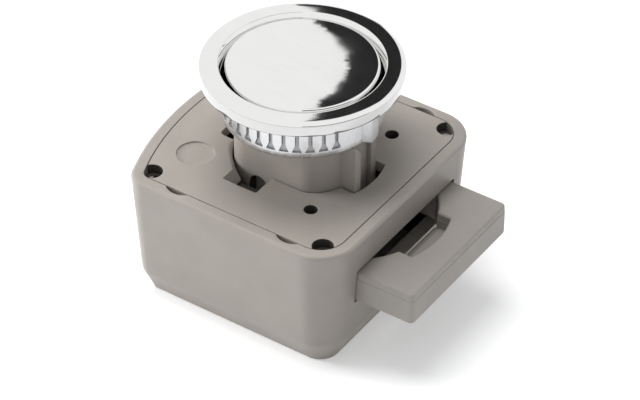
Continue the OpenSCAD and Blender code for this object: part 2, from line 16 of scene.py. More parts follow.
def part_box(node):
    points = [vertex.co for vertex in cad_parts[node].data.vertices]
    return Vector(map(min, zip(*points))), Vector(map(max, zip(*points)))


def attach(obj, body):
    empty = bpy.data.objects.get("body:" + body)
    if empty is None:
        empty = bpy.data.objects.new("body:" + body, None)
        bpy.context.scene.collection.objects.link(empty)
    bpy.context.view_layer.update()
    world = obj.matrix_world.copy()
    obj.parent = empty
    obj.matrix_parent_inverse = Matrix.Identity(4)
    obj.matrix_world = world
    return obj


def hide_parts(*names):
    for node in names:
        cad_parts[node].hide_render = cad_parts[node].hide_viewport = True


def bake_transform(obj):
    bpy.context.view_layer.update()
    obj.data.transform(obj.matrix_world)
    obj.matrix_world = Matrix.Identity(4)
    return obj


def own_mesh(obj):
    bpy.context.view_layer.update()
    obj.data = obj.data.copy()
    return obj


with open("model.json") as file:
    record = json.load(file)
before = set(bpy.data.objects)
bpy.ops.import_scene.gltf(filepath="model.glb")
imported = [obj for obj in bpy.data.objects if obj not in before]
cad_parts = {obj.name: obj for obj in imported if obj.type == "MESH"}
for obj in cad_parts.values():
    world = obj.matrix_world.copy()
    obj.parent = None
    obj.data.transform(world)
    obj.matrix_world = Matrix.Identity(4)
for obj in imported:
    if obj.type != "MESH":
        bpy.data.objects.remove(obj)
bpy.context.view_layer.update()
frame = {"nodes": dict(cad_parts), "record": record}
bpy.context.scene.view_settings.view_transform = "Standard"
MM = 0.001


def box_mm(node):
    """Lowest and highest corner of a CAD node in millimetres."""
    low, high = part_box(node)
    return low / MM, high / MM


def travel_mm(name):
    """How far a sliding joint goes from rest in millimetres."""
    joints = {joint["name"]: joint for joint in frame["record"]["behaviour"]["joints"]}
    return joints[name]["range_m"][1] / MM


# Case
case_low, case_high = box_mm("case_shell")
CASE_BACK = -case_low.x
CASE_FRONT = case_high.x
HALF_W = case_high.y
DEPTH = -case_low.z
BOW_R = 57
BOW_X = BOW_R - CASE_BACK
FRONT_R = 7
BACK_R = 4
FOOT_H = 5
FOOT_IN = 2
FOOT_ROUND = 0.5
DRAFT_IN = 1.3
RIM_W = 2.2
RIM_ROUND = 0.6
LEDGE_W = 1.2
FLOOR_T = 2.4
FLOOR_Z = FLOOR_T - DEPTH
COVER_T = 2
JOINT_GAP = 0.15

# Pry pockets in the rim
PRY_X = 11.3
PRY_R = 3.25
PRY_IN = 0.9
PRY_HALF = math.sqrt(PRY_R ** 2 - (PRY_R - PRY_IN) ** 2)

# Corner screw bosses
BOSS_X = (-17.5, 17)
BOSS_Y = 19
BOSS_R = 2.1
BOSS_DROP = 1.8
COLUMN_R = 2.35
COLUMN_Z = -13.2
PILOT_R = 1.25
PILOT_D = 10
THREAD_PITCH = 0.55
THREAD_D = 0.1
THREAD_TURNS = 6

# Rails that carry the bolt, and the seats of its springs
RAIL_Y = (15.2, 16.8)
SEAT_Y = (14.95, 19.7)
SEAT_X = (-15.3, -13.8)
SEAT_RISE = 4

# Screws through the foot into the neck's base
SCREW_X = 8
SCREW_Y = 10.8
SCREW_HEAD_R = 2.4
SCREW_SINK = 1.3
SCREW_GAP = 0.2

# Cover
HOLE_R = 1.85
HOLE_X = (-17.8, 17.2)
HOLE_Y = 19.15
LOCATE_X = 10.2
LOCATE_Y = 12.4
LOCATE_R = 1.2
RECESS = Vector((-14.65, -11))
RECESS_R = 3.3
RECESS_D = 0.3
LIP_R = 0.14
LIP_STEPS = 6

# Neck
tower_low, tower_high = box_mm("guide_tower")
NECK_R = 11.7
NECK_FLAT = 9.05
NECK_CORNER = 4.5
NECK_TOP = tower_high.z
BORE_R = 9.6
BORE_FLAT = 7.2
RIB_TOP = 9.0
RIB_FOOT = -9.65
RIB_REACH = 13.8
SHORT_RIB_REACH = 12.3
RIB_OUTER = 4.3
RIB_INNER = 2.7
RIB_SLOPE = 2.1
PIN_SLOT_X = -2.9
PIN_SLOT_Z = -11.38
PIN_SLOT_R = 1.75
TRAVEL = travel_mm("button_slide")

# Base of the neck, the block that the wire turns in, and the bosses for the foot's screws
BASE_T = 1.8
BASE_TOP = FLOOR_Z + BASE_T
BASE_X = (tower_low.x, tower_high.x)
BASE_HALF = tower_high.y
PIVOT_X = (-16.8, -14.4)
PIVOT_HALF = 3.2
PIVOT_H = 4.8
BASE_BOSS_R = 2.2
BASE_BOSS_H = 3
BASE_BORE_R = 1.1

# Opening of the cover round the neck
OPENING_GAP = 0.25
RIB_ARC_R = 14.6
RIB_OPENING = 4.75
POCKET_LEFT = -5.3
POCKET_RIGHT = 0.15
POCKET_NEAR = -14
RAMP_W = 1.5
RAMP_D = 1.8
NOTCH_X = -14.5
NOTCH_Y = 4.1
NOTCH_ROUND = 0.9

# Rosette
ros_high = box_mm("rosette")[1]
ROS_R = ros_high.x
ROS_TOP = ros_high.z
FLANGE_T = 2.55
FLANGE_ROUND = 0.3
FLANGE_Z = ROS_TOP - FLANGE_T
CROWN_SLOPE = 0.052
CROWN_GAIN = 0.008
ROLL_R = 15.95
ROLL_SLOPE = 0.26
BEVEL_W = 0.87
BEVEL_H = 1.3
BEVEL_ROUND = 0.12
BEVEL_CREST = 0.14
COLLAR_R = 14
COLLAR_IN = 13.3
COLLAR_Z = 9.15
BAND_H = 1.3
SLOT_D = 0.4
SLOT_W = 0.42
SLOT_PITCH = 9.2
SLOT_FOOT = 0.2
SLOT_SOFT = 0.12
PLAIN_HALF = 31.8
WEDGE_H = 1.3
WEDGE_W = 0.72
LUG_HALF = 10.3
LUG_PROUD = 0.03
LUG_DROP = 1.45
LUG_SLANT = math.tan(math.radians(35))
LUG_ROUND = 0.8

# Button
button_low, button_high = box_mm("button_cap")
BUTTON_R = button_high.x
DOME_H = 0.35
CAP_EDGE = 0.5
CAP_UNDER = 17.7
SKIRT_IN = 12.02
SKIRT_Z = ROS_TOP - 9
POST_R = 3
POST_Z = button_low.z
CLIP_R = 2.1
CLIP_Z = (11.55, 12.45)

# Bolt
bolt_low, bolt_high = box_mm("latch_bolt")
BOLT_END = bolt_high.x
BOLT_TOP = -6.85
BOLT_T = 6.2
BOLT_HALF = 14.9
BOLT_CORNER = 0.85
BOLT_ROUND = 0.48
BOLT_FOOT_ROUND = 0.3
BOLT_TRAVEL = travel_mm("bolt_slide")
SEAM_DROP = 1.45
SEAM_IN = 0.08
CUT_R = 14.55
DEEP_R = 16.9
DEEP_W = 6
DEEP_D = 3.15
SILL_R = 1.6
SILL_X = 22.8
ARM_IN = 10.6
SHOULDER_X = (7, 13.4)
SHOULDER_Y = bolt_high.y
CHEEK_OUT = 12.9
CHEEK_X = (bolt_low.x, 12.5)
CHEEK_Z = (bolt_low.z, bolt_high.z)
DRIVE_SLOT_R = 1.65
DRIVE_SLOT_OVER = 1.3
BOLT_GAP = 0.25
GAP_ABOVE = 0.4
GAP_BELOW = 0.55

# Springs
COIL_R = 3.2
COIL_WIRE = 0.7
COIL_TURNS = 10
COIL_X = 3.6
COIL_TOP = 2
BOLT_COIL_R = 1.55
BOLT_COIL_WIRE = 0.45
BOLT_COIL_TURNS = 15
BOLT_COIL_Y = 16.7
BOLT_COIL_POCKET = 3.4
COIL_GAP = 0.05

# The camera stands where the photograph's did: it was fitted to the object's edges
CAM_AZ = 33.95
CAM_EL = 39.07
CAM_ROLL = 0.333
CAM_DIST = 521.1
CAM_TARGET = Vector((10.073, -9.488, 0))
CAM_FOCAL_PX = 3103.5
PHOTO_W = 640
SENSOR = 36

# Studio
TOP_POWER = 3.4
SIDE_POWER = 4.8
SKY = (0.96, 0.98, 1.0, 1)
SKY_STRENGTH = 0.5
WHITE = (1, 1, 1, 1)
STAGE_PALE = (0.82, 0.82, 0.82, 1)
STAGE_GAP = 0.03
STAGE_HALF = 1600
STAGE_LIFT = 0.32
CARD_DARK = (0.006, 0.006, 0.006, 1)
CARD_OFF = 500
CARD_RIGHT = 115
CARD_TOP = 105
CARD_LOW = -220
CARD_LEFT_LOW = -12
FRINGE = 2.6
FRINGE_STEP = 1.2
FRINGE_REACH = 80


def xy(x, y):
    return Vector((x, y))


def polar(r, degrees):
    a = math.radians(degrees)
    return xy(r * math.cos(a), r * math.sin(a))


def mirrored(p):
    """The same place on the other side of the X axis."""
    return xy(p.x, -p.y)


def arc(cx, cy, r, a0, a1, n):
    """Points of an arc in degrees, with both ends."""
    angles = [math.radians(a0 + (a1 - a0) * i / n) for i in range(n + 1)]
    return [xy(cx + r * math.cos(a), cy + r * math.sin(a)) for a in angles]


def between(a, b, n):
    """Evenly spaced values from a to b, without both ends."""
    return [a + (b - a) * i / n for i in range(1, n)]


def left_mitre(points):
    """What moves a closed loop's edges to their left by 1, for each of its points."""
    found = []
    for i, b in enumerate(points):
        before = (b - points[i - 1]).normalized()
        after = (points[(i + 1) % len(points)] - b).normalized()
        n1, n2 = xy(-before.y, before.x), xy(-after.y, after.x)
        found.append((n1 + n2) / max(1 + n1.dot(n2), 0.5))
    return found


def quarter(r, steps=4):
    """Inset and depth along a rounded edge of radius r, from the wall up to the flat."""
    angles = [math.pi / 2 * i / steps for i in range(steps + 1)]
    return [(r * (1 - math.cos(a)), r * (1 - math.sin(a))) for a in angles]


def wall(low, high, r_low, r_high):
    """Levels of a straight wall from low to high with both edges rounded, as (height, inset)."""
    under = [(low + d, s) for s, d in reversed(quarter(r_low))]
    return under + [(high - d, s) for s, d in quarter(r_high)]


def add_ring(bm, points, heights):
    return [bm.verts.new((p.x, p.y, z)) for p, z in zip(points, heights)]


def flat_ring(bm, points, z):
    return add_ring(bm, points, [z] * len(points))


def skin(bm, low, high):
    """Faces between two rings, outward where the loop has the solid on its left."""
    n = len(low)
    for i in range(n):
        k = (i + 1) % n
        bm.faces.new((low[i], low[k], high[k], high[i]))


def cap(bm, rings, up):
    """Flat face through rings, the first of them outermost."""
    flat = [v for r in rings for v in r]
    for t in tessellate_polygon([[v.co.copy() for v in r] for r in rings]):
        a, b, c = (flat[i] for i in t)
        normal = (b.co - a.co).cross(c.co - a.co)
        if normal.length < 1e-9:
            continue
        if (normal.z > 0) != up:
            b, c = c, b
        if bm.faces.get((a, b, c)) is None:
            bm.faces.new((a, b, c))


def prism(bm, loops, levels, low_cap=True, high_cap=True):
    """Solid through closed loops with the material on their left. A level is (height, inset)."""
    stacks = []
    for loop in loops:
        mitre = left_mitre(loop)
        rings = [flat_ring(bm, [p + m * s for p, m in zip(loop, mitre)], z) for z, s in levels]
        for low, high in zip(rings, rings[1:]):
            skin(bm, low, high)
        stacks.append(rings)
    if low_cap:
        cap(bm, [s[0] for s in stacks], False)
    if high_cap:
        cap(bm, [s[-1] for s in stacks], True)


def lathe(bm, profile, steps, cx=0, cy=0):
    """Closed profile of (radius, height), anticlockwise in that plane, turned about an upright axis."""
    rings = []
    for r, z in profile:
        if r < 1e-6:
            rings.append([bm.verts.new((cx, cy, z))])
        else:
            rings.append(flat_ring(bm, arc(cx, cy, r, 0, 360 * (steps - 1) / steps, steps - 1), z))
    for a, b in zip(rings, rings[1:] + rings[:1]):
        if len(a) == 1 and len(b) == 1:
            continue
        for i in range(steps):
            k = (i + 1) % steps
            if len(a) == 1:
                bm.faces.new((a[0], b[k], b[i]))
            elif len(b) == 1:
                bm.faces.new((a[i], a[k], b[0]))
            else:
                bm.faces.new((a[i], a[k], b[k], b[i]))


def rounded_box_loop(x, y, r):
    steps = 4
    return (
        arc(x[1] - r, y[0] + r, r, -90, 0, steps)
        + arc(x[1] - r, y[1] - r, r, 0, 90, steps)
        + arc(x[0] + r, y[1] - r, r, 90, 180, steps)
        + arc(x[0] + r, y[0] + r, r, 180, 270, steps)
    )


def block(bm, x, y, z, r=0.25):
    """Upright block with all its edges rounded."""
    prism(bm, [rounded_box_loop(x, y, r)], wall(z[0], z[1], r * 0.8, r * 0.8))


def to_object(bm, name, material):
    """Object from a mesh in millimetres, with points that coincide made one."""
    bmesh.ops.remove_doubles(bm, verts=bm.verts, dist=1e-4)
    bmesh.ops.scale(bm, vec=(MM, MM, MM), verts=bm.verts)
    mesh = bpy.data.meshes.new(name)
    bm.to_mesh(mesh)
    bm.free()
    mesh.materials.append(material)
    obj = bpy.data.objects.new(name, mesh)
    bpy.context.scene.collection.objects.link(obj)
    return obj


def shade(obj, sharp=42, weighted=True):
    """Smooth shading up to an angle between faces, with the flats kept flat where it is weighted."""
    obj.data.shade_smooth()
    obj.data.set_sharp_from_angle(angle=math.radians(sharp))
    if weighted:
        normals = obj.modifiers.new("flats", "WEIGHTED_NORMAL")
        normals.keep_sharp = True
    return obj


def cut(obj, *cutters):
    """Takes the cutters out of the object's mesh for good and deletes them."""
    for c in cutters:
        m = obj.modifiers.new("cut", "BOOLEAN")
        m.object = c
        m.operation = "DIFFERENCE"
        m.solver = "EXACT"
    bpy.context.view_layer.update()
    evaluated = obj.evaluated_get(bpy.context.evaluated_depsgraph_get())
    mesh = bpy.data.meshes.new_from_object(evaluated)
    obj.modifiers.clear()
    obj.data = mesh
    for c in cutters:
        bpy.data.objects.remove(c)


def slot_cutter(name, foot, head, r, reach, steps):
    """Cutter along Y for a slot with round ends, between two places in the plane of X and Z."""
    turn = math.degrees(math.atan2(head.y - foot.y, head.x - foot.x))
    loop = arc(foot.x, foot.y, r, turn + 90, turn + 270, steps)
    loop += arc(head.x, head.y, r, turn - 90, turn + 90, steps)
    bm = bmesh.new()
    rings = [[bm.verts.new((p.x, y, p.y)) for p in loop] for y in (-reach, reach)]
    skin(bm, rings[0], rings[1])
    bm.faces.new(rings[0])
    bm.faces.new(list(reversed(rings[1])))
    bmesh.ops.recalc_face_normals(bm, faces=bm.faces)
    return to_object(bm, name, case_plastic)


def repaint(obj, material, picked):
    """Second material for the faces that are picked by their normal and their centre in millimetres."""
    obj.data.materials.append(material)
    for face in obj.data.polygons:
        if picked(face.normal, face.center / MM):
            face.material_index = 1


def looks_inward(normal, at):
    """Whether a face looks to the button's axis."""
    return normal.x * at.x + normal.y * at.y < -0.1


def piece(obj, body, slot, *nodes):
    """Rides the object on a body, in place of CAD nodes."""
    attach(obj, body)
    if nodes:
        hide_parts(*nodes)


# Materials

class Nodes:
    """Short ways to build a node tree."""

    def __init__(self, name):
        self.material = bpy.data.materials.new(name)
        self.material.use_nodes = True
        self.tree = self.material.node_tree
        self.shader = self.tree.nodes["Principled BSDF"]
        self.place = self.add("ShaderNodeTexCoord").outputs["Object"]

    def add(self, kind, **settings):
        node = self.tree.nodes.new(kind)
        for key, value in settings.items():
            setattr(node, key, value)
        return node

    def link(self, a, b):
        self.tree.links.new(a, b)

    def set(self, **sockets):
        for key, value in sockets.items():
            self.shader.inputs[key.replace("_", " ")].default_value = value

    def stretched(self, scale):
        node = self.add("ShaderNodeMapping")
        node.inputs["Scale"].default_value = scale
        self.link(self.place, node.inputs["Vector"])
        return node.outputs["Vector"]

    def noise(self, per_mm, detail, rough=0.5, vector=None):
        node = self.add("ShaderNodeTexNoise")
        node.inputs["Scale"].default_value = per_mm / MM
        node.inputs["Detail"].default_value = detail
        node.inputs["Roughness"].default_value = rough
        self.link(vector or self.place, node.inputs["Vector"])
        return node.outputs["Fac"]

    def ramp(self, fac, low, high, dark, light):
        node = self.add("ShaderNodeMapRange")
        for key, value in zip(("From Min", "From Max", "To Min", "To Max"), (low, high, dark, light)):
            node.inputs[key].default_value = value
        self.link(fac, node.inputs["Value"])
        return node.outputs["Result"]

    def mix(self, fac, a, b):
        node = self.add("ShaderNodeMix", data_type="RGBA")
        for socket, value in ((node.inputs["Factor"], fac), (node.inputs["A"], a), (node.inputs["B"], b)):
            if isinstance(value, bpy.types.NodeSocket):
                self.link(value, socket)
            else:
                socket.default_value = value
        return node.outputs["Result"]

    def bump(self, height, strength, depth_mm):
        node = self.add("ShaderNodeBump")
        node.inputs["Strength"].default_value = strength
        node.inputs["Distance"].default_value = depth_mm * MM
        self.link(height, node.inputs["Height"])
        self.link(node.outputs["Normal"], self.shader.inputs["Normal"])


def moulded(name, colour, speck, roughness, translucent=0.12):
    """Satin moulded plastic: soft clouds of tone, fine pale specks and the faint grain of the mould."""
    n = Nodes(name)
    pale = [min(1, c * 1.45) for c in colour[:3]] + [1]
    dark = [c * 0.93 for c in colour[:3]] + [1]
    clouds = n.ramp(n.noise(0.12, 3), 0.35, 0.65, 0, 1)
    tone = n.mix(clouds, dark, list(colour))
    specks = n.ramp(n.noise(2.6, 1), 0.74, 0.8, 0, speck)
    n.link(n.mix(specks, tone, pale), n.shader.inputs["Base Color"])
    rub = n.noise(0.35, 4, 0.6)
    n.link(n.ramp(rub, 0.3, 0.7, roughness - 0.05, roughness + 0.06), n.shader.inputs["Roughness"])
    n.bump(n.noise(5.5, 3, 0.6), 0.12, 0.02)
    n.set(IOR=1.5, Subsurface_Weight=translucent, Subsurface_Scale=0.0008)
    n.shader.inputs["Subsurface Radius"].default_value = (1.0, 0.8, 0.65)
    return n.material


def polished(name, tone=1.0):
    """Polished chrome with the faint drag of the polishing wheel."""
    n = Nodes(name)
    n.set(Metallic=1.0, IOR=2.5)
    drag = n.noise(0.35, 4, 0.55, n.stretched((0.35, 1.4, 1)))
    dull = [c * tone for c in (0.80, 0.80, 0.79)] + [1]
    bright = [c * tone for c in (0.86, 0.86, 0.85)] + [1]
    n.link(n.mix(drag, dull, bright), n.shader.inputs["Base Color"])
    n.link(n.ramp(n.noise(0.2, 3), 0.3, 0.7, 0.03, 0.07), n.shader.inputs["Roughness"])
    n.bump(drag, 0.12, 0.004)
    return n.material


def as_cast(name, tone=1.0, rougher=0.0):
    """Plated but unpolished casting: bright, with flow marks down the wall."""
    n = Nodes(name)
    n.set(Metallic=1.0, IOR=2.5)
    marks = n.noise(0.8, 4, 0.65, n.stretched((1, 1, 0.35)))
    dull = [c * tone for c in (0.70, 0.71, 0.73)] + [1]
    bright = [c * tone for c in (0.92, 0.92, 0.93)] + [1]
    n.link(n.mix(marks, dull, bright), n.shader.inputs["Base Color"])
    n.link(n.ramp(marks, 0.3, 0.7, 0.22 + rougher, 0.42 + rougher), n.shader.inputs["Roughness"])
    n.bump(n.noise(1.6, 5, 0.6, n.stretched((1, 1, 0.5))), 0.35, 0.05)
    return n.material


def zinc_steel(name):
    """Zinc plated steel, drawn or turned."""
    n = Nodes(name)
    n.set(Metallic=1.0, IOR=2.5)
    grain = n.noise(1.8, 4, 0.6, n.stretched((0.2, 1, 1)))
    n.link(n.mix(grain, (0.44, 0.45, 0.47, 1), (0.62, 0.63, 0.65, 1)), n.shader.inputs["Base Color"])
    n.link(n.ramp(grain, 0.3, 0.7, 0.24, 0.4), n.shader.inputs["Roughness"])
    n.bump(grain, 0.2, 0.01)
    return n.material


CASE_GREY = (0.335, 0.305, 0.275, 1)
BOLT_GREY = (0.330, 0.303, 0.275, 1)
# Painted shade: a darker grey for the bolt's sill, which lies in the shade of the case's slot
SILL_SHADED_GREY = (0.24, 0.22, 0.2, 1)
# Painted shade: a near-black grey that stands for the shade inside the case, in the neck's bore and in the
# cover's holes
PAINTED_SHADE_DARK = (0.05, 0.045, 0.04, 1)
ACETAL_PALE = (0.62, 0.6, 0.56, 1)
case_plastic = moulded("case_plastic", CASE_GREY, speck=0.35, roughness=0.42)
cover_plastic = moulded("cover_plastic", CASE_GREY, speck=0.6, roughness=0.46)
neck_plastic = moulded("neck_plastic", CASE_GREY, speck=0.3, roughness=0.36)
bolt_plastic = moulded("bolt_plastic", BOLT_GREY, speck=0.4, roughness=0.38, translucent=0)
sill_shaded_plastic = moulded("sill_shaded_plastic", SILL_SHADED_GREY, speck=0.1, roughness=0.8, translucent=0)
painted_shade_plastic = moulded("painted_shade_plastic", PAINTED_SHADE_DARK, speck=0.1, roughness=0.5)
acetal = moulded("acetal", ACETAL_PALE, speck=0.2, roughness=0.34)
chrome = polished("polished_chrome")
# Painted shade: a darker copy of the polished chrome for the flange's side wall, dimming the bright floor
# it reflects
shaded_side_chrome = polished("shaded_side_chrome", tone=0.67)
cast_chrome = as_cast("cast_chrome", tone=0.8)
# Duller plating in the collar's slots, and painted shade: the slots' floors and walls are made darker where
# they are deep
dull_shaded_slot_chrome = as_cast("dull_shaded_slot_chrome", tone=0.5, rougher=0.2)
steel = zinc_steel("zinc_steel")


# Case

def case_centres():
    """Centres of the front and back corner arcs on the +Y side."""
    back_y = HALF_W - BACK_R
    back_x = BOW_X - math.sqrt((BOW_R - BACK_R) ** 2 - back_y ** 2)
    return xy(CASE_FRONT - FRONT_R, HALF_W - FRONT_R), xy(back_x, back_y)


def side_stations():
    """X places along the long sides, closer together at the pry pockets."""
    front, back = case_centres()
    spots = set(between(back.x, front.x, 40))
    for c in (-PRY_X, PRY_X):
        spots = {x for x in spots if abs(x - c) > PRY_HALF + 0.2}
        spots |= {c - PRY_HALF + 2 * PRY_HALF * i / 16 for i in range(17)}
    return sorted(spots)


STATIONS = side_stations()


def case_loop(inset, pockets=False):
    """Outline of the case drawn in by an inset, with the pry pockets' arcs where wanted."""
    front, back = case_centres()
    turn = math.degrees(math.atan2(back.y, back.x - BOW_X))
    rf, rb = FRONT_R - inset, BACK_R - inset

    def side(x):
        reach = 0
        for c in (-PRY_X, PRY_X):
            if pockets and abs(x - c) < PRY_HALF:
                reach = math.sqrt(PRY_R ** 2 - (x - c) ** 2) - (PRY_R - PRY_IN)
        return HALF_W - inset + reach

    bow = arc(BOW_X, 0, BOW_R - inset, turn, 360 - turn, 48)[1:-1]
    return (
        arc(front.x, -front.y, rf, -90, 0, 16)
        + [xy(CASE_FRONT - inset, y) for y in between(-front.y, front.y, 24)]
        + arc(front.x, front.y, rf, 0, 90, 16)
        + [xy(x, side(x)) for x in reversed(STATIONS)]
        + arc(back.x, back.y, rb, 90, turn, 12)
        + bow
        + arc(back.x, -back.y, rb, 360 - turn, 270, 12)
        + [xy(x, -side(x)) for x in STATIONS]
    )


def case_profile():
    """Rings of the case's skin from the middle of its foot, out, up, over the rim and down inside."""
    bend_z = FOOT_H - DEPTH
    slope = FOOT_IN / FOOT_H
    rows = [(-DEPTH + d, DRAFT_IN + FOOT_IN + s) for s, d in reversed(quarter(FOOT_ROUND))]
    rows += [(bend_z - 0.7, DRAFT_IN + 0.7 * slope), (bend_z - 0.3, DRAFT_IN + 0.35 * slope)]
    rows += [(bend_z, DRAFT_IN + 0.05), (bend_z + 0.5, DRAFT_IN - 0.02)]
    rows += [(z, DRAFT_IN * z / bend_z) for z in (-17, -13, -9, -5, -2)]
    rows += [(-d, s) for s, d in quarter(RIM_ROUND, 7)]
    inner = [(-d, RIM_W - s) for s, d in reversed(quarter(0.12, 3))]
    inner += [(-COVER_T, RIM_W), (-COVER_T, RIM_W + LEDGE_W), (FLOOR_Z, RIM_W + LEDGE_W)]
    return rows, inner


def bolt_slot_cutter():
    """Cutter for the bolt's slot through the front wall, a little wider at its mouth."""
    flare = 0.3
    x = (CASE_FRONT - RIM_W - LEDGE_W - 1, CASE_FRONT + 0.35)
    y = BOLT_HALF + BOLT_GAP
    z = (BOLT_TOP - BOLT_T - GAP_BELOW, BOLT_TOP + GAP_ABOVE)
    bm = bmesh.new()
    rings = []
    for at, grow in ((x[0], 0), (x[1] - flare, 0), (x[1], flare)):
        loop = rounded_box_loop((-y - grow, y + grow), (z[0] - grow, z[1] + grow), 0.35 + grow)
        rings.append([bm.verts.new((at, p.x, p.y)) for p in loop])
    for a, b in zip(rings, rings[1:]):
        skin(bm, a, b)
    bm.faces.new(list(reversed(rings[0])))
    bm.faces.new(rings[-1])
    bmesh.ops.recalc_face_normals(bm, faces=bm.faces)
    return to_object(bm, "slot_cutter", case_plastic)


def screw_recess_cutter():
    """Cutter for the recesses of the screw heads in the foot, with a small chamfer at their mouths."""
    head = SCREW_HEAD_R + SCREW_GAP
    mouth = head + SCREW_GAP
    rows = [(0, SCREW_SINK - DEPTH), (0, -DEPTH - 1), (mouth, -DEPTH - 1), (mouth, -DEPTH)]
    rows += [(head, SCREW_GAP - DEPTH), (head, SCREW_SINK - DEPTH)]
    bm = bmesh.new()
    for x in (-SCREW_X, SCREW_X):
        for y in (-SCREW_Y, SCREW_Y):
            lathe(bm, rows, 32, x, y)
    bmesh.ops.recalc_face_normals(bm, faces=bm.faces)
    return to_object(bm, "screw_cutter", case_plastic)


def shadowed_in_case(normal, at):
    on_floor = normal.z > 0.9 and at.z < FLOOR_Z + 0.1
    return on_floor or (looks_inward(normal, at) and at.z < 0.02 - COVER_T)


def make_case():
    bm = bmesh.new()
    outer, inner = case_profile()
    rings = [flat_ring(bm, case_loop(s), z) for z, s in outer]
    for z, s in inner:
        above_ledge = s <= RIM_W and z > -COVER_T - 0.01
        rings.append(flat_ring(bm, case_loop(s, pockets=above_ledge), z))
    for a, b in zip(rings, rings[1:]):
        skin(bm, a, b)
    cap(bm, [rings[0]], False)
    cap(bm, [rings[-1]], True)
    shell = to_object(bm, "case_body", case_plastic)
    cut(shell, bolt_slot_cutter(), screw_recess_cutter())
    # Painted shade: the case's floor and its inner walls below the cover take the dark shade colour
    repaint(shell, painted_shade_plastic, shadowed_in_case)
    shade(shell)
    piece(shell, "case", "case_plastic", "case_shell")


def make_case_inside():
    bm = bmesh.new()
    for x in BOSS_X:
        for y in (-BOSS_Y, BOSS_Y):
            lathe(bm, boss_profile(), 48, x, y)
    for side in (-1, 1):
        rail = sorted(side * y for y in RAIL_Y)
        seat = sorted(side * y for y in SEAT_Y)
        block(bm, (SEAT_X[1], SHOULDER_X[1]), rail, (FLOOR_Z, BOLT_TOP - BOLT_T - BOLT_GAP))
        block(bm, SEAT_X, seat, (FLOOR_Z, BOLT_TOP - BOLT_T / 2 + SEAT_RISE))
    # Painted shade: the bosses, rails and spring seats inside the case are given the dark shade colour all
    # over
    inside = shade(to_object(bm, "case_bosses", painted_shade_plastic))
    piece(inside, "case", "case_plastic")


def boss_profile():
    """Column of a corner boss with its collar, thread-cutting hole and rounded lips."""
    top = -BOSS_DROP
    rows = [(PILOT_R, top - PILOT_D), (0, top - PILOT_D), (0, COLUMN_Z), (COLUMN_R, COLUMN_Z)]
    rows += [(COLUMN_R, -COVER_T - 0.02), (BOSS_R, -COVER_T - 0.02)]
    rows += [(BOSS_R - s, top - d) for s, d in quarter(0.2)]
    rows += [(PILOT_R + s, top - d) for s, d in reversed(quarter(0.15))]
    for i in range(THREAD_TURNS):
        z = top - 0.5 - THREAD_PITCH * i
        rows += [(PILOT_R, z), (PILOT_R - THREAD_D, z - 0.14), (PILOT_R, z - 0.28)]
    return list(reversed(rows))


# Cover

def bite(loop, centre, r):
    """The loop without what a circle covers, where the circle crosses it."""
    n = len(loop)
    inside = [(p - centre).length < r for p in loop]
    start = next(i for i in range(n) if inside[i] and not inside[i - 1])
    end = next(i for i in range(n) if inside[i] and not inside[(i + 1) % n])

    def crossing(a, b):
        low, high = 0.0, 1.0
        for _ in range(30):
            mid = (low + high) / 2
            if (a.lerp(b, mid) - centre).length < r:
                high = mid
            else:
                low = mid
        return a.lerp(b, low)

    first = crossing(loop[start - 1], loop[start])
    last = crossing(loop[(end + 1) % n], loop[end])
    a0 = math.degrees(math.atan2(first.y - centre.y, first.x - centre.x))
    a1 = math.degrees(math.atan2(last.y - centre.y, last.x - centre.x))
    while a1 > a0:
        a1 -= 360
    kept = []
    i = (end + 1) % n
    while i != start:
        kept.append(loop[i])
        i = (i + 1) % n
    return kept + arc(centre.x, centre.y, r, a0, a1, 20)


def neck_corner():
    """Centre of the round between the neck's curve and its flat, and where the curve ends in degrees."""
    cy = NECK_FLAT - NECK_CORNER
    cx = math.sqrt((NECK_R - NECK_CORNER) ** 2 - cy ** 2)
    return xy(cx, cy), math.degrees(math.atan2(cy, cx))


# A point of the cover's edge and its lip. Flat goes from 0 for a rounded lip to 1 for a plain slope, and
# way is the direction that the lip widens in, where that isn't square to the edge.
Lip = namedtuple("Lip", "at width depth flat way", defaults=(LIP_R, LIP_R, 0, None))


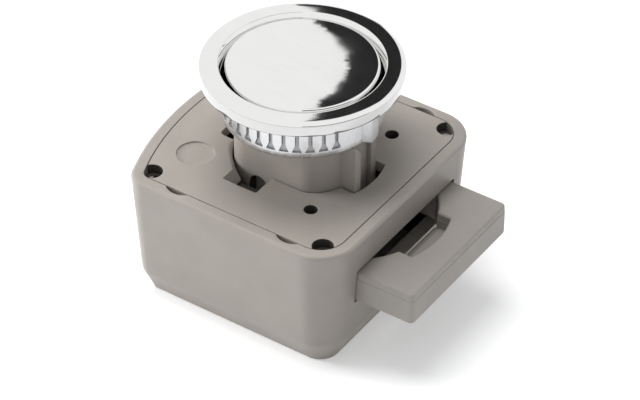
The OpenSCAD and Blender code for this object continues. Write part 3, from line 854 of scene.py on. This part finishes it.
def near_side_opening():
    """Near half of the cover's opening from the bolt side round to the wire's notch."""
    r = NECK_R + OPENING_GAP
    flat = NECK_FLAT + OPENING_GAP
    corner, turn = neck_corner()
    rib_turn = math.degrees(math.asin(RIB_OPENING / RIB_ARC_R))
    rows = [Lip(p) for p in arc(0, 0, RIB_ARC_R, 0, -rib_turn, 12)]
    rows += [Lip(p) for p in arc(0, 0, r, -math.degrees(math.asin(RIB_OPENING / r)), -turn, 8)]
    rows += [Lip(p) for p in arc(corner.x, -corner.y, NECK_CORNER + OPENING_GAP, -turn, -90, 12)[1:]]
    rows += [Lip(xy(x, -flat)) for x in (4, 2.5, 1.2)]

    # Pocket beside the neck, with a ramp down its left side
    rows += [Lip(xy(POCKET_RIGHT + 0.1, -flat - 0.05)), Lip(xy(POCKET_RIGHT, -flat - 0.35))]
    rows += [Lip(xy(POCKET_RIGHT - 0.07, y)) for y in (-11, -12.5)]
    rows += [Lip(p) for p in arc(POCKET_RIGHT - 0.37, POCKET_NEAR + 0.3, 0.3, 0, -90, 4)]
    rows += [Lip(xy(x, POCKET_NEAR)) for x in (-1.5, -3, -4.6)]
    rows.append(Lip(xy(POCKET_LEFT + 0.06, POCKET_NEAR), 0.08, 0.08))
    for y in (-13.99, -13, -12, -11.2):
        width = RAMP_W + 0.02 * (y - POCKET_NEAR)
        rows.append(Lip(xy(POCKET_LEFT, y), width, RAMP_D, 1, xy(-1, 0)))
    rows.append(Lip(xy(POCKET_LEFT - 0.06, -10.75), 1.35, 1.6, 0.9, xy(-0.96, -0.05)))

    # Broad lip round the back of the neck: angle, width, depth and flatness
    swell = (
        (239, 1.15, 1.3, 0.75), (235, 0.95, 1.05, 0.5), (231, 0.85, 0.9, 0.3), (226, 0.8, 0.8, 0.1),
        (221, 0.8, 0.8, 0), (216, 0.85, 0.8, 0), (211, 0.95, 0.8, 0), (207, 0.95, 0.7, 0),
        (203.5, 0.8, 0.5, 0),
    )
    rows += [Lip(polar(r, angle), *lip) for angle, *lip in swell]

    # Notch for the wire
    rows.append(Lip(xy(-11.35, 0.2 - NOTCH_Y), 0.4, 0.35, 0, xy(-0.4, -0.7)))
    rows.append(Lip(xy(-11.9, -NOTCH_Y), 0.25, 0.25))
    rows += [Lip(p) for p in arc(NOTCH_X + NOTCH_ROUND, NOTCH_ROUND - NOTCH_Y, NOTCH_ROUND, 270, 180, 6)]
    rows += [Lip(xy(NOTCH_X, y)) for y in (-2, 0)]
    return rows


def with_lip(loop, r):
    return [Lip(p, r, r) for p in loop]


def lip_rings(bm, rows):
    """Rings of one edge of the cover from its underside up and over the lip."""
    loop = [row.at for row in rows]
    ways = [row.way or m for m, row in zip(left_mitre(loop), rows)]
    rings = [flat_ring(bm, loop, -COVER_T)]
    for i, (s, d) in enumerate(quarter(1.0, LIP_STEPS)):
        even = i / LIP_STEPS
        points = [row.at + way * row.width * (s + (even - s) * row.flat) for row, way in zip(rows, ways)]
        heights = [-row.depth * (d + (1 - even - d) * row.flat) for row in rows]
        rings.append(add_ring(bm, points, heights))
    for a, b in zip(rings, rings[1:]):
        skin(bm, a, b)
    return rings


def make_cover():
    bm = bmesh.new()
    outer = case_loop(RIM_W + JOINT_GAP)
    for x in HOLE_X:
        for y in (-HOLE_Y, HOLE_Y):
            outer = bite(outer, xy(x, y), HOLE_R)
    near = near_side_opening()
    far = []
    for lip in reversed(near[1:-1]):
        far.append(lip._replace(at=mirrored(lip.at), way=lip.way and mirrored(lip.way)))
    loops = [with_lip(outer, 0.12), near + far]
    for y in (-LOCATE_Y, LOCATE_Y):
        loops.append(with_lip(arc(LOCATE_X, y, LOCATE_R, 360, 10, 35), 0.15))
    loops.append(with_lip(arc(RECESS.x, RECESS.y, RECESS_R, 360, 5, 71), 0.1))
    edges = [lip_rings(bm, rows) for rows in loops]
    cap(bm, [rings[0] for rings in edges], False)
    cap(bm, [rings[-1] for rings in edges], True)
    rows = [(RECESS_R + 0.02, -COVER_T), (RECESS_R + 0.02, -RECESS_D + 0.12)]
    rows += [(RECESS_R - s, -RECESS_D + d) for s, d in quarter(0.12, 3)]
    rows += [(1.5, -RECESS_D), (0, -RECESS_D), (0, -COVER_T)]
    lathe(bm, rows, 72, RECESS.x, RECESS.y)
    plate = to_object(bm, "cover", cover_plastic)
    holes = [(xy(LOCATE_X, y), LOCATE_R) for y in (-LOCATE_Y, LOCATE_Y)]
    holes += [(xy(x, y), HOLE_R) for x in HOLE_X for y in (-HOLE_Y, HOLE_Y)]

    def in_hole(normal, at):
        return abs(normal.z) < 0.5 and any((at.xy - c).length < r + 0.02 for c, r in holes)

    # Painted shade: the walls of the cover's holes take the dark shade colour
    repaint(plate, painted_shade_plastic, in_hole)
    shade(plate, 38)
    piece(plate, "case", "case_plastic", "cover_plate")


# Neck

def neck_loop():
    """Outer outline of the neck: a circle with two flats and softened corners."""
    (cx, cy), turn = neck_corner()
    right = arc(0, 0, NECK_R, -turn, turn, 40)
    far = arc(cx, cy, NECK_CORNER, turn, 90, 8)[1:] + [xy(x, NECK_FLAT) for x in between(cx, -cx, 8)]
    far += arc(-cx, cy, NECK_CORNER, 90, 180 - turn, 8)
    left = arc(0, 0, NECK_R, 180 - turn, 180 + turn, 40)[1:-1]
    near = arc(-cx, -cy, NECK_CORNER, 180 + turn, 270, 8) + [xy(x, -NECK_FLAT) for x in between(-cx, cx, 8)]
    near += arc(cx, -cy, NECK_CORNER, 270, 360 - turn, 8)[:-1]
    return right + far + left + near


def bore_loop():
    """Outline of the neck's bore, a circle with two flats, with the material on its left."""
    a = math.degrees(math.asin(BORE_FLAT / BORE_R))
    loop = arc(0, 0, BORE_R, -a, a, 40) + arc(0, 0, BORE_R, 180 - a, 180 + a, 40)
    return loop[::-1]


def shadowed_in_neck(normal, at):
    return looks_inward(normal, at) and at.z < NECK_TOP - 1


def make_neck():
    bm = bmesh.new()
    prism(bm, [neck_loop(), bore_loop()], wall(BASE_TOP - BASE_T / 2, NECK_TOP, 0.1, 0.3))
    tube = to_object(bm, "neck", neck_plastic)
    foot = xy(PIN_SLOT_X, PIN_SLOT_Z)
    cut(tube, slot_cutter("pin_cutter", foot, foot + xy(0, TRAVEL), PIN_SLOT_R, reach=13, steps=24))
    # Painted shade: the bore's walls below the neck's top take the dark shade colour
    repaint(tube, painted_shade_plastic, shadowed_in_neck)
    shade(tube)
    piece(tube, "case", "case_plastic", "guide_tower")


def make_neck_ribs():
    """Upright ribs of the neck, the longer one with a sloping top, and the neck's base in the case."""
    bm = bmesh.new()
    rib_x = BORE_R + 0.4
    block(bm, (rib_x, RIB_REACH), (-RIB_OUTER, -RIB_INNER), (RIB_FOOT, RIB_TOP), 0.22)
    for v in bm.verts:
        if v.co.z > RIB_TOP - 0.5:
            v.co.z -= RIB_SLOPE * (max(0, v.co.y + RIB_OUTER) / (RIB_OUTER - RIB_INNER)) ** 1.5
    block(bm, (rib_x, SHORT_RIB_REACH), (RIB_INNER, RIB_OUTER), (RIB_FOOT, RIB_TOP), 0.22)
    block(bm, BASE_X, (-BASE_HALF, BASE_HALF), (FLOOR_Z, BASE_TOP), 0.5)
    block(bm, PIVOT_X, (-PIVOT_HALF, PIVOT_HALF), (BASE_TOP - 0.4, BASE_TOP + PIVOT_H), 0.3)
    top = BASE_TOP + BASE_BOSS_H
    rows = [(0, BASE_TOP - 0.5), (BASE_BOSS_R, BASE_TOP - 0.5), (BASE_BOSS_R, top - 0.2)]
    rows += [(BASE_BOSS_R - 0.2, top), (BASE_BORE_R, top), (BASE_BORE_R, BASE_TOP + 1), (0, BASE_TOP + 1)]
    for x in (-SCREW_X, SCREW_X):
        for y in (-SCREW_Y, SCREW_Y):
            lathe(bm, rows, 32, x, y)
    ribs = shade(to_object(bm, "neck_ribs", neck_plastic))
    piece(ribs, "case", "case_plastic")


# Rosette

def flange_top():
    """Top of the flange from its inner to its outer edge: a faint crown that rolls off near the rim."""
    inner = COLLAR_IN + BEVEL_W + BEVEL_CREST
    outer = ROS_R - FLANGE_ROUND
    z = ROS_TOP
    rows = [(inner, z)]
    steps = 36
    dr = (outer - inner) / steps
    for i in range(steps):
        r = inner + dr * (i + 0.5)
        slope = CROWN_SLOPE + CROWN_GAIN * min(1, (r - inner) / (ROLL_R - inner))
        if r > ROLL_R:
            slope += ROLL_SLOPE * ((r - ROLL_R) / (outer - ROLL_R)) ** 1.6
        z -= slope * dr
        rows.append((r + dr / 2, z))
    return rows


def on_flange_side(normal, at):
    return abs(normal.z) < 0.5 and at.xy.length > ROS_R - 0.4


def make_rosette():
    top = flange_top()
    root_z = FLANGE_Z - 0.6
    rows = [(COLLAR_IN - 0.01, root_z), (COLLAR_R - 0.2, root_z), (COLLAR_R - 0.2, FLANGE_Z)]
    rows += [(ROS_R - 0.3, FLANGE_Z), (ROS_R - 0.08, FLANGE_Z + 0.1), (ROS_R, FLANGE_Z + 0.32)]
    edge = xy(ROS_R - FLANGE_ROUND, top[-1][1] - FLANGE_ROUND)
    rows += [edge + polar(FLANGE_ROUND, a) for a in range(0, 73, 8)]
    rows += reversed(top)
    crest = xy(COLLAR_IN + BEVEL_W + 0.1, ROS_TOP - BEVEL_ROUND)
    rows += [crest + polar(BEVEL_ROUND, 180 - a) for a in range(80, 25, -6)]
    rows += [(COLLAR_IN + 0.05, ROS_TOP - BEVEL_H + 0.08), (COLLAR_IN - 0.01, ROS_TOP - BEVEL_H - 0.1)]
    bm = bmesh.new()
    lathe(bm, rows, 360)
    ring = to_object(bm, "rosette_flange", chrome)
    # Painted shade: the flange's side wall takes the darker copy of the chrome
    repaint(ring, shaded_side_chrome, on_flange_side)
    shade(ring, 40, weighted=False)
    piece(ring, "case", "chrome", "rosette")


def slot_angles():
    count = int((360 - 2 * PLAIN_HALF) / SLOT_PITCH + 1e-6) + 1
    return [-PLAIN_HALF - SLOT_PITCH * i for i in range(count)]


def collar_loop(depth, half, inset):
    """Outline of the collar at a level where its slots have this depth and half width."""
    mm_angle = math.degrees(1 / COLLAR_R)
    slots = slot_angles()
    soft = SLOT_SOFT * mm_angle
    foot = max(half, SLOT_FOOT) * mm_angle
    edge = WEDGE_W * mm_angle + soft
    loop = []
    for a in reversed(slots):
        gap, steps = (2 * PLAIN_HALF, 24) if a == slots[0] else (SLOT_PITCH, 5)
        loop.append(polar(COLLAR_R - inset, a - foot - soft))
        loop += [polar(COLLAR_R - depth - inset, b) for b in (a - foot, a, a + foot)]
        loop.append(polar(COLLAR_R - inset, a + foot + soft))
        loop += [polar(COLLAR_R - inset, b) for b in between(a + edge, a + gap - edge, steps)]
    return loop


def in_slot(normal, at):
    return abs(normal.z) < 0.9 and COLLAR_R - SLOT_D - 0.1 < at.xy.length < COLLAR_R - 0.12


def make_collar():
    """Collar with its slots, which widen to a wedge above the plain band at the bottom.

    A level is (height, depth of the slots, half their width, inset of the wall).
    """
    band_top = COLLAR_Z + BAND_H
    wedge_top = band_top + WEDGE_H
    levels = [(COLLAR_Z, 0, 0, 0.3), (COLLAR_Z + 0.1, 0, 0, 0.1), (COLLAR_Z + 0.3, 0, 0, 0)]
    levels += [(band_top - 0.06, 0, WEDGE_W, 0), (band_top + 0.06, SLOT_D, WEDGE_W, 0)]
    levels += [(wedge_top, SLOT_D, SLOT_W / 2, 0), (FLANGE_Z, SLOT_D, SLOT_W / 2, 0)]
    bm = bmesh.new()
    rings = [flat_ring(bm, collar_loop(*slot_and_inset), z) for z, *slot_and_inset in levels]
    outward = [v.co.xy.normalized() for v in rings[0]]
    for r, z in ((COLLAR_IN, FLANGE_Z), (COLLAR_IN, COLLAR_Z + 0.2), (COLLAR_IN + 0.15, COLLAR_Z)):
        rings.append(flat_ring(bm, [way * r for way in outward], z))
    for a, b in zip(rings, rings[1:] + rings[:1]):
        skin(bm, a, b)
    lug(bm)
    collar = to_object(bm, "rosette_collar", cast_chrome)
    # The slots' faces take the darker, rougher chrome: duller plating and painted shade
    repaint(collar, dull_shaded_slot_chrome, in_slot)
    shade(collar, 38)
    piece(collar, "case", "chrome")


def lug(bm):
    """Lug below the collar, a little proud of it, with a rounded lower edge."""
    old = set(bm.verts)
    outer = arc(0, 0, COLLAR_R + LUG_PROUD, -LUG_HALF, LUG_HALF, 40)
    inner = arc(0, 0, COLLAR_IN + 0.02, LUG_HALF, -LUG_HALF, 40)
    low = COLLAR_Z - LUG_DROP
    prism(bm, [outer + inner], wall(low, FLANGE_Z, 0.18, 0.05))
    side = (COLLAR_R + LUG_PROUD) * math.sin(math.radians(LUG_HALF))
    for v in bm.verts:
        if v not in old and v.co.z < COLLAR_Z - 1:
            v.co.z += max(0, -v.co.y) * LUG_SLANT
            past = v.co.y - (side - LUG_ROUND)
            if past > 0:
                v.co.z += LUG_ROUND - math.sqrt(max(0, LUG_ROUND ** 2 - past ** 2))


def make_button():
    bm = bmesh.new()
    edge = xy(BUTTON_R - CAP_EDGE, ROS_TOP - DOME_H - CAP_EDGE)
    rows = [(SKIRT_IN, SKIRT_Z), (BUTTON_R - 0.1, SKIRT_Z), (BUTTON_R, SKIRT_Z + 0.1)]
    rows += [edge + polar(CAP_EDGE, a) for a in range(0, 91, 5)]
    for i in range(1, 41):
        u = 1 - i / 40
        rows.append((edge.x * u, ROS_TOP - DOME_H * u * u))
    rows += [(0, CAP_UNDER), (SKIRT_IN - 0.3, CAP_UNDER), (SKIRT_IN, CAP_UNDER - 0.3)]
    lathe(bm, rows, 360)
    post = [(0, POST_Z), (POST_R - 0.2, POST_Z), (POST_R, POST_Z + 0.2), (POST_R, CLIP_Z[0])]
    post += [(CLIP_R, CLIP_Z[0]), (CLIP_R, CLIP_Z[1]), (POST_R, CLIP_Z[1])]
    post += [(POST_R, CAP_UNDER + 0.1), (0, CAP_UNDER + 0.1)]
    lathe(bm, post, 48)
    button = shade(to_object(bm, "button", chrome), 40, weighted=False)
    piece(button, "button", "chrome", "button_cap")


# Bolt

def bolt_loop(deep):
    """Plan of the bolt with its cut-out: the upper layer has the deep step, the lower one the sill."""
    c = BOLT_CORNER
    cut_x = BOLT_TRAVEL + math.sqrt(CUT_R ** 2 - ARM_IN ** 2)
    shoulder = [xy(SHOULDER_X[0], SHOULDER_Y), xy(SHOULDER_X[1], SHOULDER_Y), xy(SHOULDER_X[1], BOLT_HALF)]
    outer = [mirrored(p) for p in shoulder] + [xy(x, -BOLT_HALF) for x in (18, 22, 26)]
    outer += arc(BOLT_END - c, c - BOLT_HALF, c, -90, 0, 8)
    outer += [xy(BOLT_END, y) for y in (-8, 0, 8)]
    outer += arc(BOLT_END - c, BOLT_HALF - c, c, 0, 90, 8)
    outer += [xy(x, BOLT_HALF) for x in (26, 22, 18)] + shoulder[::-1]
    at_arm = math.degrees(math.asin(ARM_IN / CUT_R))
    at_step = math.degrees(math.asin(DEEP_W / CUT_R))
    if deep:
        at_deep = math.degrees(math.asin(DEEP_W / DEEP_R))
        middle = arc(BOLT_TRAVEL, 0, DEEP_R, at_deep, -at_deep, 16)
    else:
        middle = [xy(SILL_X + SILL_R, DEEP_W), xy(SILL_X + SILL_R, -DEEP_W)]
    inner = [xy(SHOULDER_X[0], ARM_IN), xy(cut_x, ARM_IN)]
    inner += arc(BOLT_TRAVEL, 0, CUT_R, at_arm, at_step, 8)[1:] + middle
    inner += arc(BOLT_TRAVEL, 0, CUT_R, -at_step, -at_arm, 8)[:-1]
    inner += [xy(cut_x, -ARM_IN), xy(SHOULDER_X[0], -ARM_IN)]
    return outer + inner


def add_sill(bm, step_z, low_z):
    """Floor of the deep step up to the sill's edge, and the bar with the sill's rounded edge."""
    edge_x = SILL_X + SILL_R
    r = DEEP_R + 0.3
    half = DEEP_W + 0.3
    turn = math.degrees(math.asin(half / r))
    patch = [xy(edge_x, -half)] + arc(BOLT_TRAVEL, 0, r, -turn, turn, 12) + [xy(edge_x, half)]
    bm.faces.new(flat_ring(bm, patch, step_z))
    back_x = edge_x + 0.04
    bar = [xy(back_x, step_z - 0.01)] + arc(edge_x, step_z - SILL_R - 0.01, SILL_R, 90, 180, 10)
    bar += [xy(SILL_X, low_z + 0.2), xy(SILL_X + 0.2, low_z + 0.02), xy(back_x, low_z + 0.02)]
    before = set(bm.faces)
    rings = [[bm.verts.new((p.x, y, p.y)) for p in bar] for y in (-DEEP_W - 0.02, DEEP_W + 0.02)]
    skin(bm, rings[1], rings[0])
    bm.faces.new(rings[1])
    bm.faces.new(list(reversed(rings[0])))
    bmesh.ops.recalc_face_normals(bm, faces=[f for f in bm.faces if f not in before])


def on_sill(normal, at):
    return SILL_X - 0.1 < at.x < SILL_X + SILL_R + 0.05 and abs(at.y) < DEEP_W + 0.1


def make_tongue():
    step_z = BOLT_TOP - DEEP_D
    low_z = BOLT_TOP - BOLT_T
    seam_z = BOLT_TOP - SEAM_DROP
    upper = [(step_z, 0), (seam_z - 0.04, 0), (seam_z, 0.06)]
    upper += [(BOLT_TOP - d, s + SEAM_IN) for s, d in quarter(BOLT_ROUND, 6)]
    lower = [(low_z + d, s) for s, d in reversed(quarter(BOLT_FOOT_ROUND, 5))] + [(step_z, 0)]
    bm = bmesh.new()
    prism(bm, [bolt_loop(deep=True)], upper, low_cap=False)
    prism(bm, [bolt_loop(deep=False)], lower, high_cap=False)
    add_sill(bm, step_z, low_z)
    tongue = to_object(bm, "bolt_tongue", bolt_plastic)
    # Painted shade: the sill's rounded bar takes a darker copy of the bolt's plastic
    repaint(tongue, sill_shaded_plastic, on_sill)
    shade(tongue, 50)
    piece(tongue, "bolt", "bolt_plastic", "latch_bolt")


def make_cheeks():
    """The two plates inside the case, with the slanted slots that the cross pin draws the bolt in by."""
    bm = bmesh.new()
    for side in (-1, 1):
        block(bm, CHEEK_X, sorted((side * ARM_IN, side * CHEEK_OUT)), CHEEK_Z, 0.3)
    # Painted shade: the cheeks inside the case are given the dark shade colour all over
    cheeks = to_object(bm, "bolt_cheeks", painted_shade_plastic)
    foot = xy(PIN_SLOT_X, PIN_SLOT_Z)
    head = foot + xy(BOLT_TRAVEL, TRAVEL) * DRIVE_SLOT_OVER
    cut(cheeks, slot_cutter("drive_cutter", foot, head, DRIVE_SLOT_R, reach=14, steps=20))
    shade(cheeks)
    piece(cheeks, "bolt", "bolt_plastic")


# Springs and small parts

def coil_height(turn, turns):
    """Height of a spring's wire in pitches, with an easy first and last turn."""
    if turn < 1:
        return turn ** 2 / 2
    if turn > turns - 1:
        return turns - 1 - (turns - turn) ** 2 / 2
    return turn - 0.5


def coil(name, radius, wire, turns, length, node, place):
    """Spring of round wire along +Z with closed, flat-lying ends."""
    steps = 28
    sides = 10
    bm = bmesh.new()
    rings = []
    for i in range(turns * steps + 1):
        turn = i / steps
        z = wire / 2 + (length - wire) * coil_height(turn, turns) / (turns - 1)
        a = 2 * math.pi * turn
        ring = []
        for k in range(sides):
            b = 2 * math.pi * k / sides
            r = radius + wire / 2 * math.cos(b)
            ring.append(bm.verts.new((r * math.cos(a), r * math.sin(a), z + wire / 2 * math.sin(b))))
        rings.append(ring)
    for low, high in zip(rings, rings[1:]):
        skin(bm, low, high)
    bm.faces.new(rings[0])
    bm.faces.new(list(reversed(rings[-1])))
    bmesh.ops.recalc_face_normals(bm, faces=bm.faces)
    bmesh.ops.transform(bm, matrix=place, verts=bm.verts)
    obj = shade(to_object(bm, name, steel), 60)
    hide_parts(node)
    return obj


def make_springs():
    low_z = BASE_TOP + COIL_GAP
    length = COIL_TOP - COIL_GAP - low_z
    place = Matrix.Translation((COIL_X, 0, low_z))
    upright = coil("plunger_coil", COIL_R, COIL_WIRE, COIL_TURNS, length, "plunger_spring", place)
    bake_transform(upright)
    along_x = Matrix.Rotation(math.pi / 2, 4, "Y")
    seat_x = SEAT_X[1]
    length = SHOULDER_X[0] + BOLT_COIL_POCKET - seat_x - 2 * COIL_GAP
    for y, node in ((-BOLT_COIL_Y, "bolt_spring_left"), (BOLT_COIL_Y, "bolt_spring_right")):
        place = Matrix.Translation((seat_x + COIL_GAP, y, BOLT_TOP - BOLT_T / 2)) @ along_x
        name = node.replace("spring", "coil")
        lying = coil(name, BOLT_COIL_R, BOLT_COIL_WIRE, BOLT_COIL_TURNS, length, node, place)
        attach(lying, "case")
        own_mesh(lying)


def dress_cad_nodes():
    """Materials and softened edges for the nodes that show as they are."""
    looks = {
        "tower_screws": (steel, 0.12),
        "cap_clip": (steel, 0.1),
        "plunger": (acetal, 0.25),
        "heart_cam": (steel, 0.12),
        "drive_pin": (steel, 0.2),
        "cam_pin": (steel, 0),
        "pin_spring": (steel, 0.05),
    }
    for node, (material, edge) in looks.items():
        obj = frame["nodes"][node]
        obj.data.materials.clear()
        obj.data.materials.append(material)
        if edge:
            bevel = obj.modifiers.new("edges", "BEVEL")
            bevel.width = edge * MM
            bevel.segments = 3
            bevel.limit_method = "ANGLE"
            bevel.angle_limit = math.radians(50)
            bevel.harden_normals = False


# Stage

def facing(azimuth):
    """Outward, right and up at the camera's elevation, turned in degrees from the camera's side."""
    az, el = math.radians(CAM_AZ + azimuth), math.radians(CAM_EL)
    out = Vector((math.sin(az) * math.cos(el), -math.cos(az) * math.cos(el), math.sin(el)))
    right = Vector((math.cos(az), math.sin(az), 0))
    return out, right, out.cross(right)


def add_camera():
    back, right, up = facing(0)
    roll = math.radians(CAM_ROLL)
    turned_right = math.cos(roll) * right + math.sin(roll) * up
    turned_up = -math.sin(roll) * right + math.cos(roll) * up
    data = bpy.data.cameras.new("camera")
    data.sensor_width = SENSOR
    data.lens = CAM_FOCAL_PX * SENSOR / PHOTO_W
    data.clip_end = 20
    camera = bpy.data.objects.new("camera", data)
    rotation = Matrix((turned_right, turned_up, back)).transposed().to_4x4()
    camera.matrix_world = Matrix.Translation((CAM_TARGET + back * CAM_DIST) * MM) @ rotation
    bpy.context.scene.collection.objects.link(camera)
    bpy.context.scene.camera = camera


def stage_mesh(name, corners, material):
    mesh = bpy.data.meshes.new(name)
    mesh.from_pydata([c * MM for c in corners], [], [list(range(len(corners)))])
    mesh.materials.append(material)
    obj = bpy.data.objects.new(name, mesh)
    bpy.context.scene.collection.objects.link(obj)
    return obj


def seen(tree):
    """1 for rays from the camera, off metal and through glass, and 0 for the light on the object."""
    path = tree.nodes.new("ShaderNodeLightPath")
    either = path.outputs["Is Camera Ray"]
    for name in ("Is Glossy Ray", "Is Transmission Ray"):
        both = tree.nodes.new("ShaderNodeMath")
        both.operation = "MAXIMUM"
        tree.links.new(either, both.inputs[0])
        tree.links.new(path.outputs[name], both.inputs[1])
        either = both.outputs[0]
    return either


def add_floor():
    """Pale floor that looks white where nothing shades it, just below the foot."""
    n = Nodes("studio_floor")
    n.set(Base_Color=STAGE_PALE, Roughness=0.9, Emission_Color=WHITE)
    n.link(n.ramp(seen(n.tree), 0, 1, 0, STAGE_LIFT), n.shader.inputs["Emission Strength"])
    corners = [Vector((x * STAGE_HALF, y * STAGE_HALF, -DEPTH - STAGE_GAP))
               for x, y in ((-1, -1), (1, -1), (1, 1), (-1, 1))]
    stage_mesh("floor", corners, n.material)


def add_world():
    """Soft pale sky that lights the object, seen as white."""
    world = bpy.data.worlds.new("studio")
    bpy.context.scene.world = world
    world.use_nodes = True
    tree = world.node_tree
    lights = tree.nodes["Background"]
    lights.inputs["Color"].default_value = SKY
    lights.inputs["Strength"].default_value = SKY_STRENGTH
    shown = tree.nodes.new("ShaderNodeBackground")
    shown.inputs["Color"].default_value = WHITE
    shown.inputs["Strength"].default_value = 1
    mix = tree.nodes.new("ShaderNodeMixShader")
    tree.links.new(seen(tree), mix.inputs[0])
    tree.links.new(lights.outputs[0], mix.inputs[1])
    tree.links.new(shown.outputs[0], mix.inputs[2])
    tree.links.new(mix.outputs[0], tree.nodes["World Output"].inputs["Surface"])


def add_lamp(name, where, size, power):
    """Round lamp that shines at the origin and isn't mirrored by the chrome."""
    data = bpy.data.lights.new(name, "AREA")
    data.shape = "DISK"
    data.size = size * MM
    data.energy = power
    lamp = bpy.data.objects.new(name, data)
    lamp.location = Vector(where) * MM
    lamp.rotation_euler = (-lamp.location).to_track_quat("-Z", "Y").to_euler()
    lamp.visible_glossy = False
    bpy.context.scene.collection.objects.link(lamp)


def add_card(name, place, edge):
    """Dark card that only the polished metal shows."""
    n = Nodes(name)
    n.set(Base_Color=CARD_DARK, Roughness=0.9)
    out, right, up = place
    card = stage_mesh(name, [out * CARD_OFF + right * x + up * y for x, y in edge], n.material)
    card.visible_camera = False
    card.visible_diffuse = False
    card.visible_shadow = False


def ragged_edge():
    """Left edge of the card behind the lock from its top down: a bulge with uneven streaks."""
    curve = (
        (0, CARD_TOP), (1, 75), (6, 58), (13, 46), (20, 34), (25, 22), (28, 9), (29, -3), (28, -15),
        (25, -28), (21, -40), (15, -51), (9, -61), (4, -70), (-1, -84), (-5, -100), (-8, -120),
        (CARD_LEFT_LOW, CARD_LOW),
    )
    edge = []
    for i, ((x0, y0), (x1, y1)) in enumerate(zip(curve, curve[1:])):
        steps = max(1, round(abs(y0 - y1) / FRINGE_STEP)) if abs(y0) < FRINGE_REACH else 1
        for k in range(steps):
            uneven = math.sin(91.7 * i + 37.3 * k * k + 5.1 * k) + 1
            streak = FRINGE * uneven if steps > 1 else 0
            edge.append((x0 + (x1 - x0) * k / steps + streak, y0 + (y1 - y0) * k / steps))
    return edge


def add_cards():
    """One card stands behind the lock and one over the camera."""
    out, right, up = facing(180)
    back = ragged_edge() + [(CARD_LEFT_LOW, CARD_LOW), (CARD_RIGHT, CARD_LOW), (CARD_RIGHT, CARD_TOP)]
    add_card("back_card", (out, -right, up), back)
    add_card("front_card", facing(0), ((0, 60), (900, 60), (900, 330), (0, 330)))


make_case()
make_case_inside()
make_cover()
make_neck()
make_neck_ribs()
make_rosette()
make_collar()
make_button()
make_tongue()
make_cheeks()
make_springs()
dress_cad_nodes()
add_camera()
add_floor()
add_world()
add_lamp("top", where=(-150, 60, 700), size=460, power=TOP_POWER)
add_lamp("side", where=(-600, -240, 210), size=350, power=SIDE_POWER)
add_cards()
